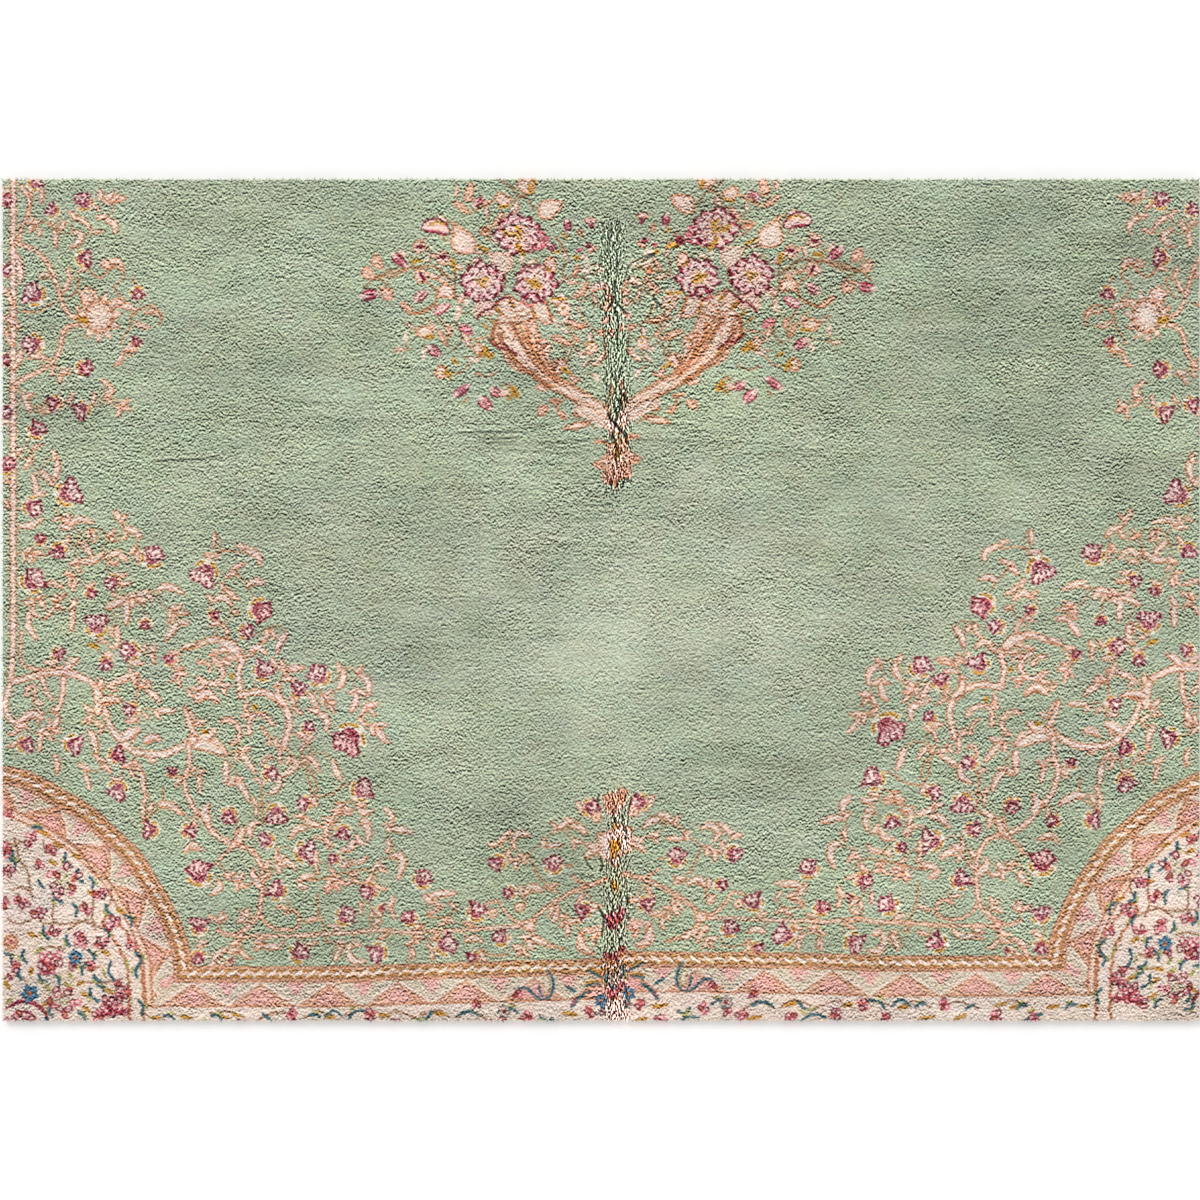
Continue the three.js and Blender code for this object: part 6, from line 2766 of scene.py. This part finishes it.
PILE_RIM: tuple[Rim, ...] = (
    Rim(0.9, 2.6, 0.0, 0.0, 0.0), Rim(0.0, 6.2, 0.0, -0.6, 0.0), Rim(0.3, -1.7, 1.0, -0.5, 0.4),
    Rim(1.5, -0.5, 1.0, -0.3, 0.8), Rim(3.6, 0.0, 1.0, 0.0, 1.0),
)


@dataclass(frozen=True)
class Lattice:
    """The knots' grid over the whole rug: places, how the relief moves them and their flat places."""

    places: np.ndarray
    outwards: np.ndarray
    flat: np.ndarray


@dataclass
class Pile:
    """The wool pile, in strips side by side, each a closed piece.

    Attributes:
        form: The rug's shape.
        weaver: Gives the dye.
        finish: The wool's finish.
        pitch: Distance between two rows of knots, in millimetres.
        strips: Number of strips.
        jitter: How unevenly the knots sit, as a share of the pitch.
        relief: Height of the clumps in metres.
        fold_relief: Height of the clumps on the old fold, in metres.
        seed: Picks the unevenness.
        unevenness: How much the dye's lightness varies from triangle to triangle.
        parts: The finished strips.
    """

    form: RugForm
    weaver: Weaver
    finish: Wool = Wool()
    pitch: float = 1.31
    strips: int = 5
    jitter: float = 0.2
    relief: float = 0.0011
    fold_relief: float = 0.0022
    seed: int = 5
    unevenness: float = 0.07
    parts: list[Shape] = field(default_factory=list)

    def lattice(self) -> Lattice:
        """Lays out the grid, rolled over the rug's edges.

        Returns:
            The grid, one row of knots after another.
        """
        rims = np.array(PILE_RIM)
        rises = np.where(rims[:, 2] > 0, self.form.thickness + rims[:, 1], rims[:, 1])
        run = np.concatenate([[0.0], np.cumsum(np.hypot(np.diff(rims[:, 0]), np.diff(rises)))])
        over = run[-1] - rims[-1, 0]
        columns = self.strips * round((self.form.width + 2 * over) / self.pitch / self.strips)
        rows = round((self.form.depth + 2 * over) / self.pitch)
        flat_x, flat_y = np.meshgrid(
            np.linspace(-self.form.width / 2 - over, self.form.width / 2 + over, columns + 1),
            np.linspace(-self.form.depth / 2 - over, self.form.depth / 2 + over, rows + 1),
        )
        chance = np.random.default_rng(self.seed)
        spread = chance.uniform(-self.jitter, self.jitter, (2, rows + 1, columns + 1))
        spread[:, (0, -1), :] = 0.0
        spread[:, :, :: columns // self.strips] = 0.0
        flat_x, flat_y = flat_x + self.pitch * spread[0], flat_y + self.pitch * spread[1]
        end_x = self.form.width / 2 + over - np.abs(flat_x)
        end_y = self.form.depth / 2 + over - np.abs(flat_y)
        near = np.minimum(end_x, end_y)
        inset, base, carried, out, up = (np.interp(near, run, rims[:, column]) for column in range(5))
        room = np.maximum(run[-1] - near, 1e-6)
        insets = []
        for end in (end_x, end_y):
            squeezed = inset + (end - near) * (rims[-1, 0] - inset) / room
            insets.append(np.where(end < run[-1], squeezed, end - over))
        x = np.sign(flat_x) * (self.form.width / 2 - insets[0])
        y = np.sign(flat_y) * (self.form.depth / 2 - insets[1])
        z = base + carried * self.form.top(x, y)
        side_x = np.where(end_x <= end_y, -np.sign(flat_x), 0.0)
        side_y = np.where(end_y < end_x, -np.sign(flat_y), 0.0)
        outwards = np.stack([out * side_x, out * side_y, up], axis=-1)
        return Lattice(np.stack([x, y, z], axis=-1), outwards, np.stack([flat_x, flat_y], axis=-1))

    def relief_tree(self) -> tuple[Tree, tuple[TreeInput, ...]]:
        """Builds the tree that raises the clumps of wool.

        Returns:
            The tree and its inputs, all but the finish.
        """
        inputs = (
            TreeInput("Clump Length", "NodeSocketFloat", self.finish.clumps.length),
            TreeInput("Clump Depth", "NodeSocketFloat", self.finish.clumps.depth),
            TreeInput("Relief", "NodeSocketFloat", self.relief),
            TreeInput("Fold Relief", "NodeSocketFloat", self.fold_relief),
            TreeInput("Wool", "NodeSocketMaterial", None),
        )
        tree, start, end = open_tree("wool_relief", inputs)
        place = tree.nodes.new("GeometryNodeInputPosition").outputs[0]
        fold = read_named_attribute(tree, "fold")
        sizes = start.outputs["Clump Length"], start.outputs["Clump Depth"]
        tips = self.finish.clumps.grow(tree, place, fold, read_named_attribute(tree, "rough"), *sizes)
        extra = add_math(tree, "SUBTRACT", start.outputs["Fold Relief"], start.outputs["Relief"])
        height = add_math(tree, "MULTIPLY_ADD", extra, fold, start.outputs["Relief"])
        lift = add_math(tree, "MULTIPLY", height, add_math(tree, "SUBTRACT", tips, 0.65))
        offset = scale_vector(tree, read_named_attribute(tree, "outwards", "FLOAT_VECTOR"), lift)
        move = tree.nodes.new("GeometryNodeSetPosition")
        tree.links.new(start.outputs["Geometry"], move.inputs["Geometry"])
        tree.links.new(offset, move.inputs["Offset"])
        close_tree(tree, move.outputs[0], start.outputs["Wool"], end)
        return tree, inputs

    def build_strip(self, lattice: Lattice, index: int) -> Shape:
        """Makes one strip, without its relief.

        Args:
            lattice: The whole grid.
            index: The strip's number, from 0 at the left.

        Returns:
            The strip.
        """
        wide = (lattice.places.shape[1] - 1) // self.strips
        part = slice(index * wide, (index + 1) * wide + 1)
        places, outwards, flat = (a[:, part] for a in (lattice.places, lattice.outwards, lattice.flat))
        rows, columns = places.shape[:2]
        number = np.arange(rows * columns).reshape(rows, columns)
        a, b, c, d = number[:-1, :-1], number[:-1, 1:], number[1:, 1:], number[1:, :-1]
        slanted = (np.arange(rows - 1)[:, None] + np.arange(columns - 1)) % 2 == 1
        rising, falling = squares((a, b, c), (a, c, d)), squares((a, b, d), (b, c, d))
        triangles = np.where(slanted[..., None, None], rising, falling).reshape(-1, 3)
        caps = self.caps(number, index > 0, index < self.strips - 1)
        mesh = build_mesh(f"pile_strip_{index + 1}", places.reshape(-1, 3), triangles, caps)
        self.dye(mesh, places.reshape(-1, 3), triangles, sum(len(cap) for cap in caps))
        store(mesh, "fold", "FLOAT", "POINT", self.form.fold(places[..., 0], places[..., 1]))
        store(mesh, "rough", "FLOAT", "POINT", self.form.roughness(places[..., 0], places[..., 1]))
        store(mesh, "outwards", "FLOAT_VECTOR", "POINT", outwards)
        corners = flat.reshape(-1, 2)[np.concatenate([triangles.ravel(), *caps])]
        spread = mesh.uv_layers.new(name="OFBake")
        low, high = flat.reshape(-1, 2).min(0), flat.reshape(-1, 2).max(0)
        spread.uv.foreach_set("vector", ((corners - low) / (high - low).max()).astype(np.float32).ravel())
        return put_in_scene(mesh.name + "_bare", mesh)

    def caps(self, number: np.ndarray, left_open: bool, right_open: bool) -> list[np.ndarray]:
        """Lists the plain faces that close a strip: the cuts beside its neighbours, then the bottom.

        Args:
            number: The vertices' numbers, one row of knots after another.
            left_open: Whether another strip lies to its left.
            right_open: Whether another strip lies to its right.

        Returns:
            The vertex numbers round each face.
        """
        caps = []
        if left_open:
            caps.append(number[:, 0])
        if right_open:
            caps.append(number[::-1, -1])
        left = number[-1:, 0] if left_open else number[1:, 0]
        right = number[:0, -1] if right_open else number[-2:0:-1, -1]
        caps.append(np.concatenate([number[0, ::-1], left, number[-1, 1:], right]))
        return caps

    def dye(self, mesh: bpy.types.Mesh, places: np.ndarray, triangles: np.ndarray, spare: int) -> None:
        """Gives each corner of each triangle the colour of its knot.

        Args:
            mesh: The strip's mesh.
            places: Its vertices.
            triangles: Their numbers, three for each triangle.
            spare: Number of corners of the caps.
        """
        corners = places[triangles][..., :2]
        corners = corners + 0.34 * (corners.mean(1, keepdims=True) - corners)
        x, y = corners[..., 0].ravel(), corners[..., 1].ravel()
        # The weaver's shade adds painted light and shade of the nap, creases and cracks to the dye.
        colours = linear(self.weaver.colour(x, y)) * self.weaver.shade(x, y)[:, None]
        chance = np.random.default_rng(self.seed + len(places))
        uneven = chance.normal(1.0, self.unevenness, len(triangles))
        colours *= np.repeat(uneven, 3)[:, None]
        colours *= self.weaver.hue(x, y)
        store_dye(mesh, np.concatenate([colours, np.tile(linear(Yarn.COTTON.rgb), (spare, 1))]))

    def build(self) -> list[Shape]:
        """Makes every strip, raises its clumps and dresses it.

        Returns:
            The strips.
        """
        lattice = self.lattice()
        wool = self.finish.make()
        tree, inputs = self.relief_tree()
        for index in range(self.strips):
            bare = self.build_strip(lattice, index)
            apply_tree(bare, tree, [*inputs[:-1], inputs[-1]._replace(value=wool)])
            strip = plain_copy(bare, f"pile_strip_{index + 1}")
            strip.data.attributes.remove(strip.data.attributes["outwards"])
            self.parts.append(strip)
        return self.parts


@dataclass
class Foundation:
    """The cotton warps and wefts that the knots are tied on, with the fine ribs of the back.

    Attributes:
        form: The rug's shape.
        weaver: Gives the back its colours.
        finish: The back's finish.
        inset: How far it lies inside the rug's outline at the bottom.
        top_inset: The same at the top.
        pitch_x: Distance between two columns of the back's grid, in millimetres.
        pitch_y: Distance between two rows of it.
        rib: Height of a weft rib.
        rib_pitch: Distance between two ribs.
        dye_share: How much of the knots' colours the back shows over the bare cotton.
    """

    form: RugForm
    weaver: Weaver
    finish: Cotton = Cotton()
    inset: float = 1.1
    top_inset: float = 0.9
    pitch_x: float = 5.0
    pitch_y: float = 3.2
    rib: float = 0.25
    rib_pitch: float = 6.4
    dye_share: float = 0.72

    def build(self) -> Shape:
        """Makes the foundation.

        Returns:
            The foundation.
        """
        half_x, half_y = self.form.width / 2 - self.inset, self.form.depth / 2 - self.inset
        columns, rows = round(2 * half_x / self.pitch_x), round(2 * half_y / self.pitch_y)
        across, up = np.linspace(-half_x, half_x, columns + 1), np.linspace(-half_y, half_y, rows + 1)
        x, y = np.meshgrid(across, up)
        z = self.rib * (0.5 - 0.5 * np.cos(2 * np.pi * (y + half_y) / self.rib_pitch))
        z[(0, -1), :], z[:, (0, -1)] = 0.0, 0.0
        number = np.arange(x.size).reshape(x.shape)
        a, b, c, d = number[:-1, :-1], number[:-1, 1:], number[1:, 1:], number[1:, :-1]
        under = squares((a, c, b), (a, d, c)).reshape(-1, 3)
        rim = np.concatenate([number[0, :-1], number[:-1, -1], number[-1, :0:-1], number[:0:-1, 0]])
        places = np.stack([x, y, z], -1).reshape(-1, 3)
        growth = self.inset - self.top_inset
        raised = places[rim] * np.array([1 + growth / half_x, 1 + growth / half_y, 1.0])
        raised[:, 2] = self.form.foundation
        top = len(places) + np.arange(len(rim))
        ahead, above = np.roll(rim, -1), np.roll(top, -1)
        wall = np.concatenate([np.stack([rim, ahead, above], -1), np.stack([rim, above, top], -1)])
        places = np.concatenate([places, raised])
        triangles = np.concatenate([under, wall])
        mesh = build_mesh("cotton_foundation", places, triangles, [top])
        corners = places[np.concatenate([triangles.ravel(), top])]
        colours = linear(self.weaver.colour(corners[:, 0], corners[:, 1], 0.4))
        cotton = linear(Yarn.COTTON.rgb)
        side = np.arange(len(corners)) >= 3 * len(under)
        mixed = self.dye_share * colours + (1 - self.dye_share) * cotton
        store_dye(mesh, np.where(side[:, None], cotton, mixed))
        mesh.materials.append(self.finish.make())
        return put_in_scene("cotton_foundation", mesh)


@dataclass
class EdgeTufts:
    """Loose ends of wool that stand out of the rug's cut edges.

    Attributes:
        pile: The pile that they belong to.
        density: Tufts for each square metre of edge.
        length: Length of a tuft in metres.
        width: Width of a tuft at its root.
        seed: Picks their places.
        inset: How far inside the rug's outline they are rooted, in millimetres.
        low: Height of the lowest roots, in millimetres.
        high: Height of the highest roots.
        step: Length of the band's faces, in millimetres.
        shortest: Size of the smallest tuft as a share of the largest.
        least_lean: Least lean along x, y and z, added to the edge's own direction.
        most_lean: Greatest lean.
    """

    pile: Pile
    density: float = 90000.0
    length: float = 0.0026
    width: float = 0.0011
    seed: int = 8
    inset: float = 0.4
    low: float = 3.4
    high: float = 9.0
    step: float = 1.6
    shortest: float = 0.45
    least_lean: tuple[float, float, float] = (-0.8, -0.8, -0.5)
    most_lean: tuple[float, float, float] = (0.8, 0.8, 0.7)

    def band(self) -> Shape:
        """Makes the narrow band of edge that the tufts grow on.

        Returns:
            The band.
        """
        form = self.pile.form
        half_x, half_y = form.width / 2 - self.inset, form.depth / 2 - self.inset
        corners = np.array([(-half_x, -half_y), (half_x, -half_y), (half_x, half_y), (-half_x, half_y)])
        ring = []
        for start, end in zip(corners, np.roll(corners, -1, axis=0)):
            steps = round(math.hypot(*(end - start)) / self.step)
            ring.append(start + np.arange(steps)[:, None] / steps * (end - start))
        outline = np.concatenate(ring)
        count = len(outline)
        number = np.arange(count)
        ahead = np.roll(number, -1)
        lower = np.stack([number, ahead, ahead + count], -1)
        upper = np.stack([number, ahead + count, number + count], -1)
        triangles = np.concatenate([lower, upper])
        heights = np.repeat([self.low, self.high], count)
        places = np.column_stack([np.concatenate([outline, outline]), heights])
        mesh = build_mesh("edge_band", places, triangles)
        corners = places[triangles.ravel()]
        store_dye(mesh, linear(self.pile.weaver.colour(corners[:, 0], corners[:, 1])))
        return put_in_scene("edge_band", mesh)

    def build(self) -> Shape:
        """Grows the tufts.

        Returns:
            All of them as one piece.
        """
        inputs = (
            TreeInput("Density", "NodeSocketFloat", self.density),
            TreeInput("Tuft Length", "NodeSocketFloat", self.length),
            TreeInput("Tuft Width", "NodeSocketFloat", self.width),
            TreeInput("Seed", "NodeSocketInt", self.seed),
            TreeInput("Wool", "NodeSocketMaterial", self.pile.parts[0].data.materials[0]),
        )
        tree, start, end = open_tree("edge_tufts", inputs)
        scatter = tree.nodes.new("GeometryNodeDistributePointsOnFaces")
        for source, target in (("Geometry", "Mesh"), ("Density", "Density"), ("Seed", "Seed")):
            tree.links.new(start.outputs[source], scatter.inputs[target])
        cone = tree.nodes.new("GeometryNodeMeshCone")
        cone.inputs["Vertices"].default_value = 4
        cone.inputs["Side Segments"].default_value = 1
        cone.inputs["Radius Top"].default_value = 0.0001
        radius = add_math(tree, "MULTIPLY", start.outputs["Tuft Width"], 0.5)
        tree.links.new(radius, cone.inputs["Radius Bottom"])
        tree.links.new(start.outputs["Tuft Length"], cone.inputs["Depth"])
        size = tree.nodes.new("FunctionNodeRandomValue")
        size.data_type = "FLOAT"
        size.inputs[2].default_value = self.shortest
        size.inputs[3].default_value = 1.0
        lean = tree.nodes.new("FunctionNodeRandomValue")
        lean.data_type = "FLOAT_VECTOR"
        lean.inputs[0].default_value = self.least_lean
        lean.inputs[1].default_value = self.most_lean
        facing = add_vectors(tree, scatter.outputs["Normal"], lean.outputs[0])
        turn = tree.nodes.new("FunctionNodeAlignRotationToVector")
        turn.axis = "Z"
        tree.links.new(facing, turn.inputs["Vector"])
        plant = tree.nodes.new("GeometryNodeInstanceOnPoints")
        parts = (scatter.outputs["Points"], cone.outputs["Mesh"], turn.outputs[0], size.outputs[1])
        for source, target in zip(parts, ("Points", "Instance", "Rotation", "Scale")):
            tree.links.new(source, plant.inputs[target])
        close_tree(tree, plant.outputs[0], start.outputs["Wool"], end)
        band = self.band()
        apply_tree(band, tree, inputs)
        return plain_copy(band, "edge_tufts")


@dataclass(frozen=True)
class Studio:
    """A pale floor, soft light from all round with a little more from the upper left, and the camera above.

    Attributes:
        view_width: Width of the rug that fills the photograph, in metres.
        view_height: Height of the camera above the pile.
        view_middle: How far right of the rug's centre the camera stands.
        floor_size: Length of the floor's sides.
        sky: Brightness of the light from all round.
        sun: Strength of the light from the upper left.
        sun_tilt: How far that light is from straight down, in degrees.
        sun_turn: Where it comes from, in degrees from the right, upwards positive.
        sun_softness: Apparent size of that light in degrees.
    """

    view_width: float = 1.0017
    view_height: float = 3.0
    view_middle: float = -0.0008
    floor_size: float = 12.0
    sky: float = 0.835
    sun: float = 1.10
    sun_tilt: float = 40.0
    sun_turn: float = 125.0
    sun_softness: float = 26.0

    def place_camera(self, pile_height: float) -> None:
        """Hangs the camera straight above the rug.

        Args:
            pile_height: Height of the pile's surface in metres.
        """
        data = bpy.data.cameras.new("view_from_above")
        data.sensor_width = 36.0
        data.lens = data.sensor_width * self.view_height / self.view_width
        camera = put_in_scene("view_from_above", data)
        camera.location = (self.view_middle, 0.0, pile_height + self.view_height)
        bpy.context.scene.camera = camera

    def build(self) -> Shape:
        """Makes the floor and the lights.

        Returns:
            The floor.
        """
        half = self.floor_size / 2
        mesh = bpy.data.meshes.new("pale_floor")
        corners = [(-half, -half, 0.0), (half, -half, 0.0), (half, half, 0.0), (-half, half, 0.0)]
        mesh.from_pydata(corners, [], [(0, 1, 2, 3)])
        mesh.materials.append(PlainPaint((0.94, 0.94, 0.94)).make("pale_floor"))
        floor = put_in_scene("pale_floor", mesh)
        world = bpy.data.worlds.new("soft_room")
        world.use_nodes = True
        back = world.node_tree.nodes["Background"]
        back.inputs["Color"].default_value = (1.0, 1.0, 1.0, 1.0)
        back.inputs["Strength"].default_value = self.sky
        bpy.context.scene.world = world
        light = bpy.data.lights.new("window_light", "SUN")
        light.energy = self.sun
        light.angle = math.radians(self.sun_softness)
        lamp = put_in_scene("window_light", light)
        lamp.rotation_mode = "XYZ"
        lamp.rotation_euler = (0.0, math.radians(self.sun_tilt), math.radians(self.sun_turn))
        bpy.context.scene.view_settings.view_transform = "Standard"
        return floor


def main() -> None:
    """Builds the rug, the floor and the lights."""
    logging.basicConfig(level=logging.INFO, format="%(message)s")
    form = RugForm()
    studio = Studio()
    studio.place_camera(form.thickness * MM)
    weaver = Weaver(form)
    weaver.draw()
    LOG.info("cartoon: %d by %d cells", *weaver.drawing.colours.shape[:2])
    pile = Pile(form, weaver)
    strips = pile.build()
    foundation = Foundation(form, weaver).build()
    tufts = EdgeTufts(pile).build()
    for piece in (*strips, foundation, tufts):
        LOG.info("%s: %d faces", piece.name, len(piece.data.polygons))
        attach(piece, "root")
        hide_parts("rug")
    studio.build()


if __name__ == "__main__":
    main()
